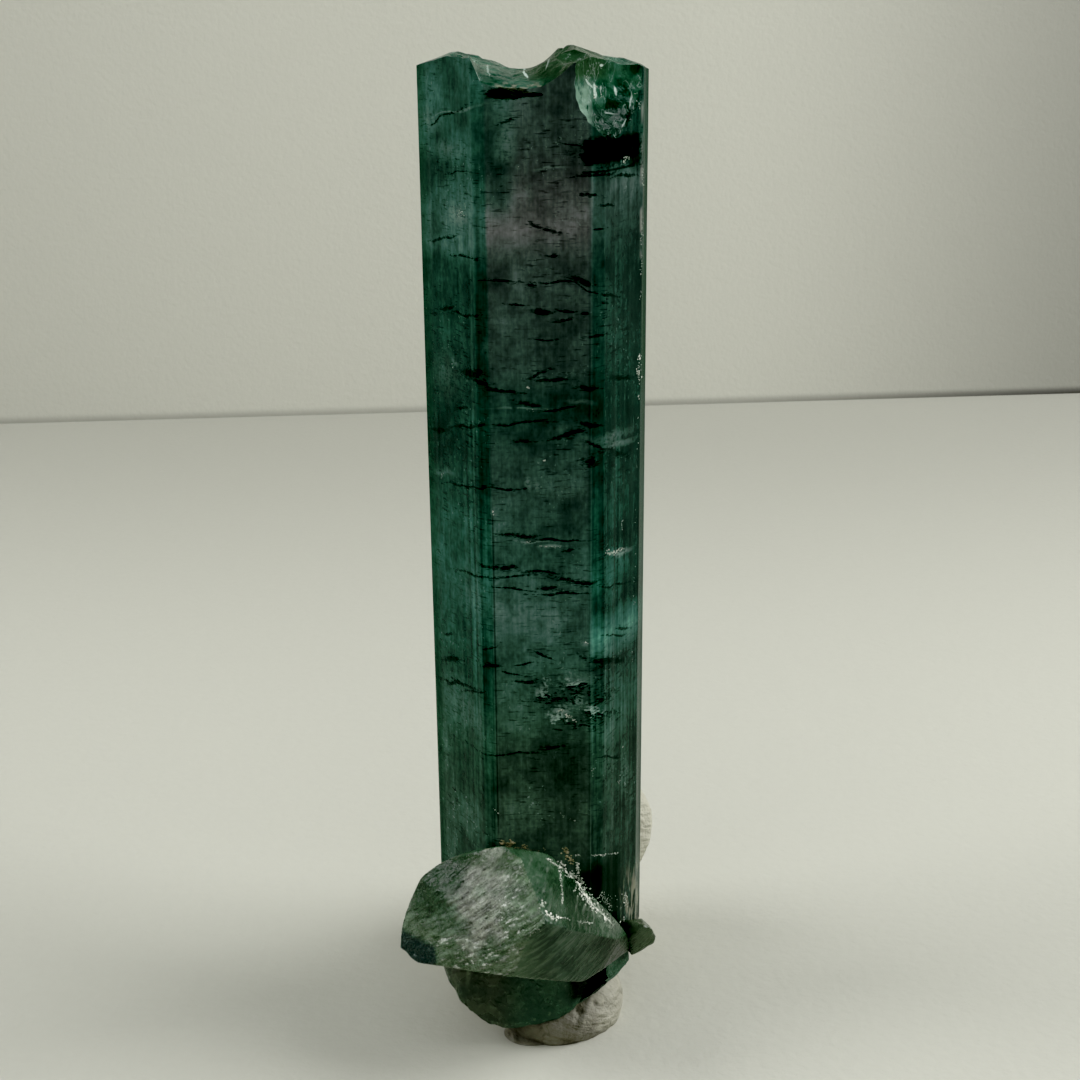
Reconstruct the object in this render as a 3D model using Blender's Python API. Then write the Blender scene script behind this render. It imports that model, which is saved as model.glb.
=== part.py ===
"""Tourmaline crystal, a green prism with a small side crystal, standing on a lump of putty.

The long prism, the side crystal across its foot, the stub beside it and the broken root
grew together, so they are one solid. The putty that holds the crystal upright is a
second solid. Lengths are written in millimetres and turned into metres by MM.
+Z is up, +X is to the right and -Y is the front. The origin is on the ground under
the middle of the bounding box.
"""

import math

import bmesh
import bpy
import numpy as np
from mathutils import Vector, noise

MM = 0.001

# Points closer than this are welded after a Boolean.
WELD = 0.004

# The prism's axis, measured from the origin.
AXIS_X = 0.444
AXIS_Y = 0.325

# Prism. Its corners are (x, y) about the axis, anticlockwise from the right-hand edge.
PRISM_CORNERS = (
    (5.52, 0.10),
    (3.00, 4.55),
    (-2.55, 4.80),
    (-3.15, 4.45),
    (-5.52, -0.15),
    (-2.82, -4.45),
    (-2.22, -4.80),
    (2.60, -4.80),
    (3.26, -4.42),
    (5.18, -1.30),
)
APOTHEM = 4.60
PRISM_FOOT = 0.3
PRISM_TOP = 54.0
STRIATION_PITCH = 0.85
STRIATION_DEPTH = 0.07

# Broken top: heights of its front rim and of its crest across x, and where the crest
# lies between the front and the back. Behind the crest it falls to the back.
BREAK_X = (-5.6, -3.9, -3.3, -2.9, -2.4, -1.7, -1.0, -0.2, 0.4, 1.1, 1.9, 2.7, 3.3, 4.3, 5.1, 5.6)
BREAK_FRONT = (
    51.0, 51.5, 51.7, 51.3, 50.6, 50.4, 50.3, 50.3, 50.4, 50.8, 51.5, 51.4, 51.2, 51.2, 51.0, 50.8
)
BREAK_CREST = (
    51.1, 51.7, 51.8, 51.7, 51.2, 51.2, 50.9, 51.2, 51.5, 51.9, 52.0, 51.8, 51.5, 51.4, 51.1, 50.8
)
BREAK_FRONT_Y = -4.8
BREAK_CREST_Y = -0.4
BREAK_BACK_Y = 4.8
BREAK_BACK_FALL = 1.1
BREAK_CELL = 0.62
BREAK_ROUGHNESS = 0.12

# Scoops chipped out of the prism: centre, half sizes, and turn about the vertical in degrees.
SCOOPS = (
    ((4.25, -3.80, 50.80), (3.25, 1.50, 2.85), 47.0),
    ((-0.87, -5.05, 50.05), (1.30, 0.60, 0.36), 0.0),
    ((-4.55, 4.05, 50.35), (2.30, 1.15, 1.80), 41.0),
)
SCOOP_SEGMENTS = 24

# Broken foot of the prism: its height across x, and how much it rises to the back.
FOOT_X = (-5.6, -4.4, -3.0, -1.8, 0.8, 2.6, 4.0, 5.6)
FOOT_HEIGHT = (4.2, 3.1, 2.0, 1.6, 2.0, 3.0, 3.7, 4.4)
FOOT_RISE_BACK = 0.10

# Root: the wider broken block across the front of the foot, as the hull of these corners.
ROOT_CORNERS = (
    (-5.45, -3.05, 6.60),
    (-4.40, -4.90, 6.10),
    (2.60, -5.16, 6.60),
    (4.80, -3.00, 6.00),
    (-5.52, -3.20, 4.28),
    (-5.19, -3.60, 3.47),
    (-4.90, -4.20, 3.17),
    (-4.40, -4.90, 2.81),
    (-3.55, -5.10, 1.94),
    (-2.77, -5.16, 1.43),
    (-1.82, -5.16, 1.12),
    (0.83, -5.12, 1.72),
    (1.80, -5.06, 2.50),
    (3.73, -3.90, 3.20),
    (4.83, -3.25, 4.20),
    (4.20, -1.60, 4.60),
    (3.90, -1.50, 6.20),
    (-4.40, -1.30, 3.60),
    (-4.30, -1.20, 6.20),
    (-2.40, -1.10, 1.70),
    (1.10, -1.20, 1.95),
)

# Side crystal: a stubby prism that points at the front with a three-faced end.
SIDE_APEX = (0.25, -9.80, 10.63)
SIDE_RIDGE_UP = ((-0.13, -8.60, 11.20), (-0.58, -7.40, 11.71), (-0.99, -6.20, 12.18))
SIDE_RIDGE_RIGHT = ((1.42, -9.00, 9.71), (2.61, -7.70, 8.61), (3.97, -6.20, 7.34))
SIDE_RIDGE_DOWN = ((-0.59, -9.80, 9.71), (-1.52, -9.50, 8.96), (-2.45, -8.80, 6.95))
SIDE_LEFT_FACE = (
    (-3.61, -7.20, 10.35),
    (-5.20, -7.00, 8.49),
    (-5.74, -5.80, 10.13),
    (-3.10, -6.20, 11.51),
    (-3.63, -8.00, 7.92),
    (-4.60, -5.20, 10.95),
    (-2.05, -8.00, 10.81),
    (-1.80, -8.90, 9.91),
)
SIDE_OUTLINE = (
    (-6.43, -6.70, 6.35),
    (-7.47, -5.60, 6.60),
    (-7.36, -5.20, 7.80),
    (-6.97, -4.90, 8.80),
    (-6.34, -4.80, 10.27),
    (-5.80, -4.80, 10.76),
    (-5.21, -4.80, 11.20),
    (-3.97, -4.50, 11.60),
    (-2.09, -5.05, 12.30),
    (0.40, -5.10, 11.85),
    (1.81, -5.00, 10.07),
    (2.59, -5.00, 9.40),
    (3.77, -4.60, 7.83),
    (4.66, -4.20, 6.36),
    (4.78, -3.90, 5.25),
    (3.00, -7.00, 5.84),
    (2.20, -7.80, 5.81),
    (0.90, -8.80, 6.50),
    (-1.43, -9.00, 6.95),
    (-3.66, -8.00, 6.62),
    (-4.83, -7.20, 6.35),
)
SIDE_BURIED = (
    (-6.00, -3.80, 5.00),
    (-3.50, -2.00, 4.60),
    (3.30, -2.50, 4.30),
    (-3.50, -1.00, 9.00),
    (2.50, -1.00, 7.50),
)

# Stub: a tiny crystal at the right-hand end of the side crystal.
STUB_CORNERS = (
    (4.60, -3.90, 5.90),
    (5.20, -3.90, 6.45),
    (5.62, -3.70, 6.62),
    (6.00, -3.50, 6.22),
    (6.23, -3.30, 5.66),
    (6.10, -3.30, 5.30),
    (5.52, -3.60, 5.08),
    (4.90, -3.80, 4.80),
    (5.95, -2.60, 5.90),
    (5.50, -2.40, 6.30),
    (5.50, -2.40, 5.20),
    (4.30, -2.40, 6.20),
    (4.30, -2.40, 4.90),
)

# Putty: balls as centre about the axis, height, and half sizes.
PUTTY_BALLS = (
    ((0.90, -1.10, 0.80), (3.70, 4.10, 2.60)),
    ((-0.60, 2.60, 1.20), (4.00, 4.60, 2.80)),
    ((1.20, 5.90, 3.20), (4.50, 3.10, 5.20)),
    ((1.75, 6.60, 7.20), (4.90, 2.55, 4.70)),
)
PUTTY_SEGMENTS = 28
PUTTY_GAP = 0.36
PUTTY_LUMPINESS = 0.22
PUTTY_LUMP_SIZE = 3.0
GROUND_BLOCK = 40.0
SMOOTH_ANGLE = 40.0

MATERIALS = {
    "tourmaline": {
        "colour": (0.055, 0.190, 0.120, 1.0),
        "roughness": 0.12,
        "transmission": 0.85,
        "ior": 1.63,
    },
    "putty": {
        "colour": (0.560, 0.540, 0.450, 1.0),
        "roughness": 0.62,
        "transmission": 0.0,
        "ior": 1.45,
    },
}


def clear_scene():
    """Removes every object that the file opened with."""
    for item in list(bpy.data.objects):
        bpy.data.objects.remove(item)


def new_collection(name, hidden=False):
    """A collection linked to the scene; a hidden one is left out of renders."""
    collection = bpy.data.collections.new(name)
    bpy.context.scene.collection.children.link(collection)
    collection.hide_render = hidden
    return collection


def new_material(name):
    """A Principled material from the MATERIALS table."""
    values = MATERIALS[name]
    material = bpy.data.materials.new(name)
    material.use_nodes = True
    shader = material.node_tree.nodes["Principled BSDF"]
    shader.inputs["Base Color"].default_value = values["colour"]
    shader.inputs["Roughness"].default_value = values["roughness"]
    shader.inputs["Metallic"].default_value = 0.0
    shader.inputs["Transmission Weight"].default_value = values["transmission"]
    shader.inputs["IOR"].default_value = values["ior"]
    return material


def crystal_axis(collection):
    """An empty on the ground at the foot of the prism's axis; every object hangs on it."""
    empty = bpy.data.objects.new("crystal_axis", None)
    empty.empty_display_size = 5.0 * MM
    empty.location = Vector((AXIS_X, AXIS_Y, 0.0)) * MM
    collection.objects.link(empty)
    return empty


def place(name, mesh, axis, collection, centre=(0.0, 0.0, 0.0), turn=0.0):
    """An object with this mesh, on the axis empty, at a centre and a turn about +Z."""
    item = bpy.data.objects.new(name, mesh)
    item.parent = axis
    item.location = Vector(centre) * MM
    item.rotation_euler = (0.0, 0.0, math.radians(turn))
    collection.objects.link(item)
    return item


def finish_mesh(bm, name):
    """Turns a finished bmesh into a mesh whose faces point out."""
    bmesh.ops.recalc_face_normals(bm, faces=bm.faces)
    mesh = bpy.data.meshes.new(name)
    bm.to_mesh(mesh)
    bm.free()
    return mesh


def make_cutter(item):
    """Hides a helper object from renders and draws it as wire."""
    item.hide_render = True
    item.display_type = "WIRE"
    return item


def weld_into_triangles(mesh):
    """Welds points that lie together and splits every face into triangles."""
    bm = bmesh.new()
    bm.from_mesh(mesh)
    bmesh.ops.remove_doubles(bm, verts=bm.verts, dist=WELD * MM)
    bmesh.ops.triangulate(bm, faces=bm.faces)
    bm.to_mesh(mesh)
    bm.free()
    return mesh


def evaluated_mesh(item):
    """The mesh that an object's curve or modifiers make."""
    graph = bpy.context.evaluated_depsgraph_get()
    return weld_into_triangles(bpy.data.meshes.new_from_object(item.evaluated_get(graph)))


def combine(item, other, operation):
    """Joins or cuts item by other, and leaves other as a hidden helper."""
    modifier = item.modifiers.new(f"{operation.title()} {other.name}", "BOOLEAN")
    modifier.operation = operation
    modifier.object = other
    finished = evaluated_mesh(item)
    item.modifiers.clear()
    item.data = finished
    make_cutter(other)
    return item


def hull(name, corners, axis, collection, grow=0.0):
    """The convex hull of corners given about the prism's axis, made thicker by grow."""
    bm = bmesh.new()
    for corner in corners:
        bm.verts.new(Vector(corner) * MM)
    made = bmesh.ops.convex_hull(bm, input=bm.verts)
    inside = [v for v in made["geom_interior"] if isinstance(v, bmesh.types.BMVert)]
    bmesh.ops.delete(bm, geom=inside, context="VERTS")
    bmesh.ops.recalc_face_normals(bm, faces=bm.faces)
    bm.normal_update()
    for vert in bm.verts:
        vert.co += vert.normal * grow * MM
    return place(name, finish_mesh(bm, name), axis, collection)


def ellipsoid(name, half_sizes, segments, axis, collection, centre, turn=0.0):
    """A ball stretched to its half sizes, then placed and turned."""
    bm = bmesh.new()
    bmesh.ops.create_uvsphere(bm, u_segments=segments, v_segments=segments // 2, radius=1.0)
    bmesh.ops.scale(bm, verts=bm.verts, vec=Vector(half_sizes) * MM)
    return place(name, finish_mesh(bm, name), axis, collection, centre, turn)


def striated_outline():
    """The prism's outline, with shallow upright flutes between its corners."""
    points = []
    for index, corner in enumerate(PRISM_CORNERS):
        start = Vector(corner)
        end = Vector(PRISM_CORNERS[(index + 1) % len(PRISM_CORNERS)])
        along = end - start
        inward = Vector((-along.y, along.x)).normalized()
        flutes = max(1, round(along.length / STRIATION_PITCH))
        points.append(start)
        for flute in range(1, flutes):
            depth = STRIATION_DEPTH * (1.0 if flute % 2 else 0.25)
            points.append(start + along * flute / flutes + inward * depth)
    return points


def prism(name, axis, collection, grow=0.0):
    """The upright prism: a flat outline extruded from its foot past its broken top."""
    curve = bpy.data.curves.new(name, "CURVE")
    curve.dimensions = "2D"
    curve.fill_mode = "BOTH"
    curve.extrude = (PRISM_TOP - PRISM_FOOT) / 2 * MM
    outline = striated_outline()
    spline = curve.splines.new("POLY")
    spline.points.add(len(outline) - 1)
    spline.use_cyclic_u = True
    scale = MM * (1.0 + grow / APOTHEM)
    for point, corner in zip(spline.points, outline):
        point.co = (corner.x * scale, corner.y * scale, 0.0, 1.0)
    middle = (0.0, 0.0, (PRISM_TOP + PRISM_FOOT) / 2)
    guide = place(f"{name}_outline", curve, axis, collection, middle)
    item = place(name, evaluated_mesh(guide), axis, collection, middle)
    bpy.data.objects.remove(guide)
    return item


def break_height(x, y):
    """Height of the broken top at a point about the axis, all in millimetres."""
    front = float(np.interp(x, BREAK_X, BREAK_FRONT))
    crest = float(np.interp(x, BREAK_X, BREAK_CREST))
    rise = (y - BREAK_FRONT_Y) / (BREAK_CREST_Y - BREAK_FRONT_Y)
    fall = (y - BREAK_CREST_Y) / (BREAK_BACK_Y - BREAK_CREST_Y)
    height = front + (crest - front) * min(max(rise, 0.0), 1.0)
    height -= BREAK_BACK_FALL * max(fall, 0.0) ** 2
    return height + BREAK_ROUGHNESS * noise.noise(Vector((x * 1.1, y * 1.1, 3.7)))


def foot_height(x, y):
    """Height of the broken foot at a point about the axis, all in millimetres."""
    height = float(np.interp(x, FOOT_X, FOOT_HEIGHT)) + FOOT_RISE_BACK * (y - BREAK_FRONT_Y)
    return height + BREAK_ROUGHNESS * noise.noise(Vector((x * 0.9, y * 0.9, 8.3)))


def break_cutter(name, surface, far, axis, collection, drop=0.0):
    """A block between a broken surface, lowered by drop, and a flat far side."""
    half = max(abs(value) for corner in PRISM_CORNERS for value in corner) + 1.0
    cells = math.ceil(2 * half / BREAK_CELL)
    bm = bmesh.new()
    bmesh.ops.create_grid(bm, x_segments=cells, y_segments=cells, size=half)
    made = bmesh.ops.extrude_face_region(bm, geom=bm.faces[:])
    flat = {v for v in made["geom"] if isinstance(v, bmesh.types.BMVert)}
    for vert in bm.verts:
        x, y = vert.co.x, vert.co.y
        vert.co = Vector((x, y, far if vert in flat else surface(x, y) - drop)) * MM
    return place(name, finish_mesh(bm, name), axis, collection)


def cut_ground(item, axis, cutters):
    """Cuts an object flat at the ground."""
    bm = bmesh.new()
    bmesh.ops.create_cube(bm, size=GROUND_BLOCK * MM)
    block = finish_mesh(bm, "ground")
    below = (0.0, 0.0, -GROUND_BLOCK / 2)
    return combine(item, place("ground", block, axis, cutters, below), "DIFFERENCE")


def tourmaline_crystal(axis, parts, cutters):
    """The prism with its broken ends and its chips, and what grew onto its foot."""
    crystal = prism("tourmaline_crystal", axis, parts)
    top = break_cutter("top_break", break_height, PRISM_TOP + 2.0, axis, cutters)
    foot = break_cutter("foot_break", foot_height, PRISM_FOOT - 2.0, axis, cutters)
    combine(crystal, top, "DIFFERENCE")
    combine(crystal, foot, "DIFFERENCE")
    for number, (centre, half_sizes, turn) in enumerate(SCOOPS, 1):
        name = f"scoop_{number}"
        scoop = ellipsoid(name, half_sizes, SCOOP_SEGMENTS, axis, cutters, centre, turn)
        combine(crystal, scoop, "DIFFERENCE")
    combine(crystal, hull("root", ROOT_CORNERS, axis, cutters), "UNION")
    ridges = (SIDE_APEX, *SIDE_RIDGE_UP, *SIDE_RIDGE_RIGHT, *SIDE_RIDGE_DOWN)
    corners = (*ridges, *SIDE_LEFT_FACE, *SIDE_OUTLINE, *SIDE_BURIED)
    combine(crystal, hull("side_crystal", corners, axis, cutters), "UNION")
    combine(crystal, hull("stub", STUB_CORNERS, axis, cutters), "UNION")
    crystal.data.materials.clear()
    crystal.data.materials.append(new_material("tourmaline"))
    return crystal


def socket_cutter(axis, cutters):
    """The foot of the crystal, grown by the gap that the putty keeps from it."""
    socket = prism("socket", axis, cutters, PUTTY_GAP)
    foot = break_cutter("socket_foot", foot_height, PRISM_FOOT - 2.0, axis, cutters, PUTTY_GAP)
    combine(socket, foot, "DIFFERENCE")
    root = hull("socket_root", ROOT_CORNERS, axis, cutters, PUTTY_GAP)
    return combine(socket, root, "UNION")


def putty(axis, parts, cutters):
    """The lump of putty under and behind the root, pressed flat on the ground."""
    centre, half_sizes = PUTTY_BALLS[0]
    lump = ellipsoid("putty", half_sizes, PUTTY_SEGMENTS, axis, parts, centre)
    for number, (centre, half_sizes) in enumerate(PUTTY_BALLS[1:], 2):
        name = f"putty_ball_{number}"
        ball = ellipsoid(name, half_sizes, PUTTY_SEGMENTS, axis, cutters, centre)
        combine(lump, ball, "UNION")
    for vert in lump.data.vertices:
        push = noise.noise(vert.co / MM / PUTTY_LUMP_SIZE)
        vert.co += vert.normal * PUTTY_LUMPINESS * MM * push
    cut_ground(lump, axis, cutters)
    combine(lump, socket_cutter(axis, cutters), "DIFFERENCE")
    lump.data.materials.clear()
    lump.data.materials.append(new_material("putty"))
    lump.data.shade_smooth()
    lump.data.set_sharp_from_angle(angle=math.radians(SMOOTH_ANGLE))
    return lump


def main():
    """Builds the crystal and the putty that it stands in."""
    clear_scene()
    parts = new_collection("tourmaline crystal")
    cutters = new_collection("cutters", hidden=True)
    axis = crystal_axis(parts)
    tourmaline_crystal(axis, parts, cutters)
    putty(axis, parts, cutters)


main()
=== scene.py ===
"""A tourmaline specimen on a pale table: a green prism and its side crystal, held by putty.

Shapes are worked out in millimetres about the prism's axis, with numpy, and become
meshes in metres. +Z is up, +X is to the right and -Y is the front.
"""

from __future__ import annotations

import logging
import math
from dataclasses import dataclass, field
from enum import Enum
from itertools import starmap
from typing import Any, Callable, Sequence

import bmesh
import bpy
import numpy as np
from mathutils import Matrix, Vector
from mathutils.bvhtree import BVHTree


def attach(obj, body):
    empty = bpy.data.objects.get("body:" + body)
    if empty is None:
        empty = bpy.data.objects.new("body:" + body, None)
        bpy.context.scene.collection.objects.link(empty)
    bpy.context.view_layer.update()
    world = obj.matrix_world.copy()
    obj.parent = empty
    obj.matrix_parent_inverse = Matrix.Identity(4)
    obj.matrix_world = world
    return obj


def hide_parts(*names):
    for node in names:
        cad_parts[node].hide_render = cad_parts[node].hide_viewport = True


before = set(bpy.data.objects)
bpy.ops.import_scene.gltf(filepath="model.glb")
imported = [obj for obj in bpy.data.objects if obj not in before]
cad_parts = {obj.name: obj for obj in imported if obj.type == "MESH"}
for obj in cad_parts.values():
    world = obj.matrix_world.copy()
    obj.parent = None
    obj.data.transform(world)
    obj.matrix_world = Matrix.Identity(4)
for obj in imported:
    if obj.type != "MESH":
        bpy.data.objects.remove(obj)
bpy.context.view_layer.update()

Array = np.ndarray
Point = tuple[float, float, float]
Colour = tuple[float, float, float, float]

LOG = logging.getLogger("tourmaline")
MM = 0.001
AXIS = np.array([0.444, 0.325, 0.0])
FRONT = -4.80


class Join(Enum):
    """How one closed shape is put together with another."""

    UNION = "UNION"
    CUT = "DIFFERENCE"


# --------------------------------------------------------------------- shaders


class Signal:
    """One output of a shader node, usable in Python arithmetic."""

    def __init__(self, sheet: "Sheet", socket: bpy.types.NodeSocket) -> None:
        """Keeps the node sheet and the output socket."""
        self.sheet = sheet
        self.socket = socket

    def math(self, operation: str, *others: Any) -> "Signal":
        """A Math node on this signal and the others.

        Args:
            operation: the Math node's operation.
            others: numbers or signals for its further inputs.

        Returns:
            The node's value.
        """
        return self.sheet.node("ShaderNodeMath", {"operation": operation}, (self, *others))

    def __add__(self, other: Any) -> "Signal":
        """This plus another."""
        return self.math("ADD", other)

    __radd__ = __add__

    def __mul__(self, other: Any) -> "Signal":
        """This times another."""
        return self.math("MULTIPLY", other)

    __rmul__ = __mul__

    def __sub__(self, other: Any) -> "Signal":
        """This less another."""
        return self.math("SUBTRACT", other)

    def __rsub__(self, other: Any) -> "Signal":
        """Another less this."""
        return (self * -1.0) + other

    def __pow__(self, power: Any) -> "Signal":
        """This to a power."""
        return self.math("POWER", power)

    def clamp(self) -> "Signal":
        """This, held between 0 and 1."""
        return self.math("MINIMUM", 1.0).math("MAXIMUM", 0.0)

    def fade(self, start: float, end: float) -> "Signal":
        """A smooth step that goes from 0 at start to 1 at end."""
        return self.sheet.node(
            "ShaderNodeMapRange",
            {"interpolation_type": "SMOOTHSTEP"},
            {"Value": self, "From Min": start, "From Max": end},
        )

    def band(self, low: float, high: float, soft: float) -> "Signal":
        """1 between low and high, and 0 outside them past a soft edge."""
        return self.fade(low - soft, low + soft) * (1.0 - self.fade(high - soft, high + soft))


class Sheet:
    """A material's node tree, with one method that adds any node."""

    def __init__(self, name: str) -> None:
        """Starts an empty material."""
        self.material = bpy.data.materials.new(name)
        self.material.use_nodes = True
        self.tree = self.material.node_tree
        self.tree.nodes.clear()
        self.out = self.tree.nodes.new("ShaderNodeOutputMaterial")

    def node(
        self, kind: str, settings: dict[str, Any], inputs: Any = (), output: Any = 0
    ) -> Signal:
        """Adds a node, sets it and feeds it.

        Args:
            kind: the node's type.
            settings: attributes that are set first; "stops" fills a colour ramp.
            inputs: values or signals, by socket name or in order.
            output: which output to return, by name or number.

        Returns:
            The chosen output.
        """
        made = self.tree.nodes.new(kind)
        for key, value in settings.items():
            if key == "stops":
                self._fill_ramp(made.color_ramp, value)
            else:
                setattr(made, key, value)
        pairs = inputs.items() if isinstance(inputs, dict) else enumerate(inputs)
        for key, value in pairs:
            self.feed(made.inputs[key], value)
        return Signal(self, made.outputs[output])

    @staticmethod
    def _fill_ramp(ramp: bpy.types.ColorRamp, stops: Sequence[tuple[float, Any]]) -> None:
        """Puts stops, as (place, colour or grey), on a colour ramp."""
        while len(ramp.elements) < len(stops):
            ramp.elements.new(1.0)
        for element, (place, colour) in zip(ramp.elements, stops):
            element.position = place
            grey = isinstance(colour, (int, float))
            element.color = (colour, colour, colour, 1.0) if grey else colour

    def feed(self, socket: bpy.types.NodeSocket, value: Any) -> None:
        """Links a signal to a socket, or sets the socket's own value."""
        if isinstance(value, Signal):
            self.tree.links.new(value.socket, socket)
        else:
            socket.default_value = value

    def place(self, scale: Point = (1.0, 1.0, 1.0), turn: Point = (0.0, 0.0, 0.0)) -> Signal:
        """Object coordinates in millimetres about the axis, turned and then stretched.

        Args:
            scale: the stretch along each axis.
            turn: the turn about each axis, in degrees.

        Returns:
            The coordinates.
        """
        coords = self.node("ShaderNodeTexCoord", {}, (), "Object")
        shift = {"Location": tuple(-AXIS), "Scale": (1.0 / MM,) * 3}
        spot = self.node("ShaderNodeMapping", {}, {"Vector": coords, **shift})
        if any(turn):
            degrees = tuple(math.radians(angle) for angle in turn)
            spot = self.node("ShaderNodeMapping", {}, {"Vector": spot, "Rotation": degrees})
        return self.node("ShaderNodeMapping", {}, {"Vector": spot, "Scale": scale})

    def axes(self) -> tuple[Signal, Signal, Signal]:
        """Object coordinates x, y and z in millimetres about the axis."""
        split = self.node("ShaderNodeSeparateXYZ", {}, (self.place(),), "X")
        outputs = split.socket.node.outputs
        return tuple(Signal(self, outputs[name]) for name in "XYZ")

    def noise(self, scale: Point, detail: float = 3.0, turn: Point = (0.0, 0.0, 0.0)) -> Signal:
        """Noise from 0 to 1 with so many lumps a millimetre along each axis."""
        return self.node(
            "ShaderNodeTexNoise",
            {},
            {"Vector": self.place(scale, turn), "Scale": 1.0, "Detail": detail},
            "Fac",
        )

    def mound(
        self, spot: Signal, middle: tuple[float, float], half: tuple[float, float], rise: float
    ) -> Signal:
        """1 in the middle of a tilted ellipse in x and z, falling evenly to 0 at its edge.

        Args:
            spot: a point whose y is 0.
            middle: the ellipse's x and z.
            half: half its length and half its height.
            rise: how much its right end lies above its middle.

        Returns:
            max(0, 1 - r), with r the distance from the middle over the half sizes.
        """
        height = self.node("ShaderNodeTexGradient", {"gradient_type": "SPHERICAL"}, (spot,), "Fac")
        lie = height.socket.node.texture_mapping
        lie.vector_type = "TEXTURE"
        lie.translation = (middle[0], 0.0, middle[1])
        lie.rotation = (0.0, -math.atan2(rise, half[0]), 0.0)
        lie.scale = (half[0], 1.0, half[1])
        return height

    def warped(self, x: Signal, z: Signal, shift: tuple[float, float]) -> Signal:
        """The point (x, 0, z) moved by a shift."""
        flat = self.node("ShaderNodeCombineXYZ", {}, (x, 0.0, z))
        moved = {"Vector": flat, "Location": (shift[0], 0.0, shift[1])}
        return self.node("ShaderNodeMapping", {}, moved)

    def mix(self, factor: Any, first: Any, second: Any, blend: str = "MIX") -> Signal:
        """A colour between two, or one worked on by the other.

        Args:
            factor: how much of the second is taken.
            first: a colour or signal.
            second: a colour or signal.
            blend: the Mix node's blend type.

        Returns:
            The mixed colour.
        """
        made = self.tree.nodes.new("ShaderNodeMix")
        made.data_type = "RGBA"
        made.blend_type = blend
        made.clamp_factor = True
        for index, value in ((0, factor), (6, first), (7, second)):
            self.feed(made.inputs[index], value)
        return Signal(self, made.outputs[2])

    def bump(self, height: Signal, depth: float, strength: float = 1.0) -> Signal:
        """A normal raised by height, by so many millimetres."""
        return self.node(
            "ShaderNodeBump",
            {},
            {"Height": height, "Distance": depth * MM, "Strength": strength},
        )

    def surface(self, **sockets: Any) -> bpy.types.Material:
        """Ends the sheet in a Principled shader.

        Args:
            sockets: its sockets, with _ for a space.

        Returns:
            The finished material.
        """
        named = {key.replace("_", " "): value for key, value in sockets.items()}
        shader = self.node("ShaderNodeBsdfPrincipled", {}, named)
        self.feed(self.out.inputs["Surface"], shader)
        return self.material

    def absorb(self, colour: Colour, density: float) -> None:
        """Fills the inside with a plain absorbing colour."""
        inside = self.node("ShaderNodeVolumeAbsorption", {}, {"Color": colour, "Density": density})
        self.feed(self.out.inputs["Volume"], inside)


# ---------------------------------------------------------------------- fields


def lattice(cells: Array, seed: int) -> Array:
    """A fixed number from -1 to 1 for each whole-number cell, by hashing its indices."""
    c = cells.astype(np.int64)
    mixed = c[..., 0] * 374761393 + c[..., 1] * 668265263 + c[..., 2] * 144269504
    mixed = (mixed + seed * 974634777) & 0xFFFFFFFF
    mixed = ((mixed ^ (mixed >> 13)) * 1274126177) & 0xFFFFFFFF
    return (mixed ^ (mixed >> 16)) / 2147483647.5 - 1.0


def value_noise(points: Array, seed: int = 0) -> Array:
    """Lattice numbers blended across each cell by 6t^5 - 15t^4 + 10t^3 along each axis."""
    base = np.floor(points)
    t = points - base
    t = t * t * t * (t * (t * 6.0 - 15.0) + 10.0)
    total = np.zeros(points.shape[:-1])
    for corner in range(8):
        step = np.array([corner & 1, corner >> 1 & 1, corner >> 2 & 1])
        weight = np.prod(np.where(step, t, 1.0 - t), axis=-1)
        total += weight * lattice(base + step, seed)
    return total


def fractal(points: Array, octaves: int = 4, seed: int = 0) -> Array:
    """Value noise summed over octaves, each twice as fine and half as strong."""
    total = np.zeros(points.shape[:-1])
    for octave in range(octaves):
        total += value_noise(points * 2.0**octave + 17.3 * octave, seed + octave) / 2.0**octave
    return total


def ease(t: Array) -> Array:
    """3t^2 - 2t^3, held between 0 and 1."""
    t = np.clip(t, 0.0, 1.0)
    return t * t * (3.0 - 2.0 * t)


def column(*parts: Array) -> Array:
    """Puts coordinate arrays together as points."""
    return np.stack(np.broadcast_arrays(*parts), axis=-1)


# ---------------------------------------------------------------------- meshes


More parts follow.
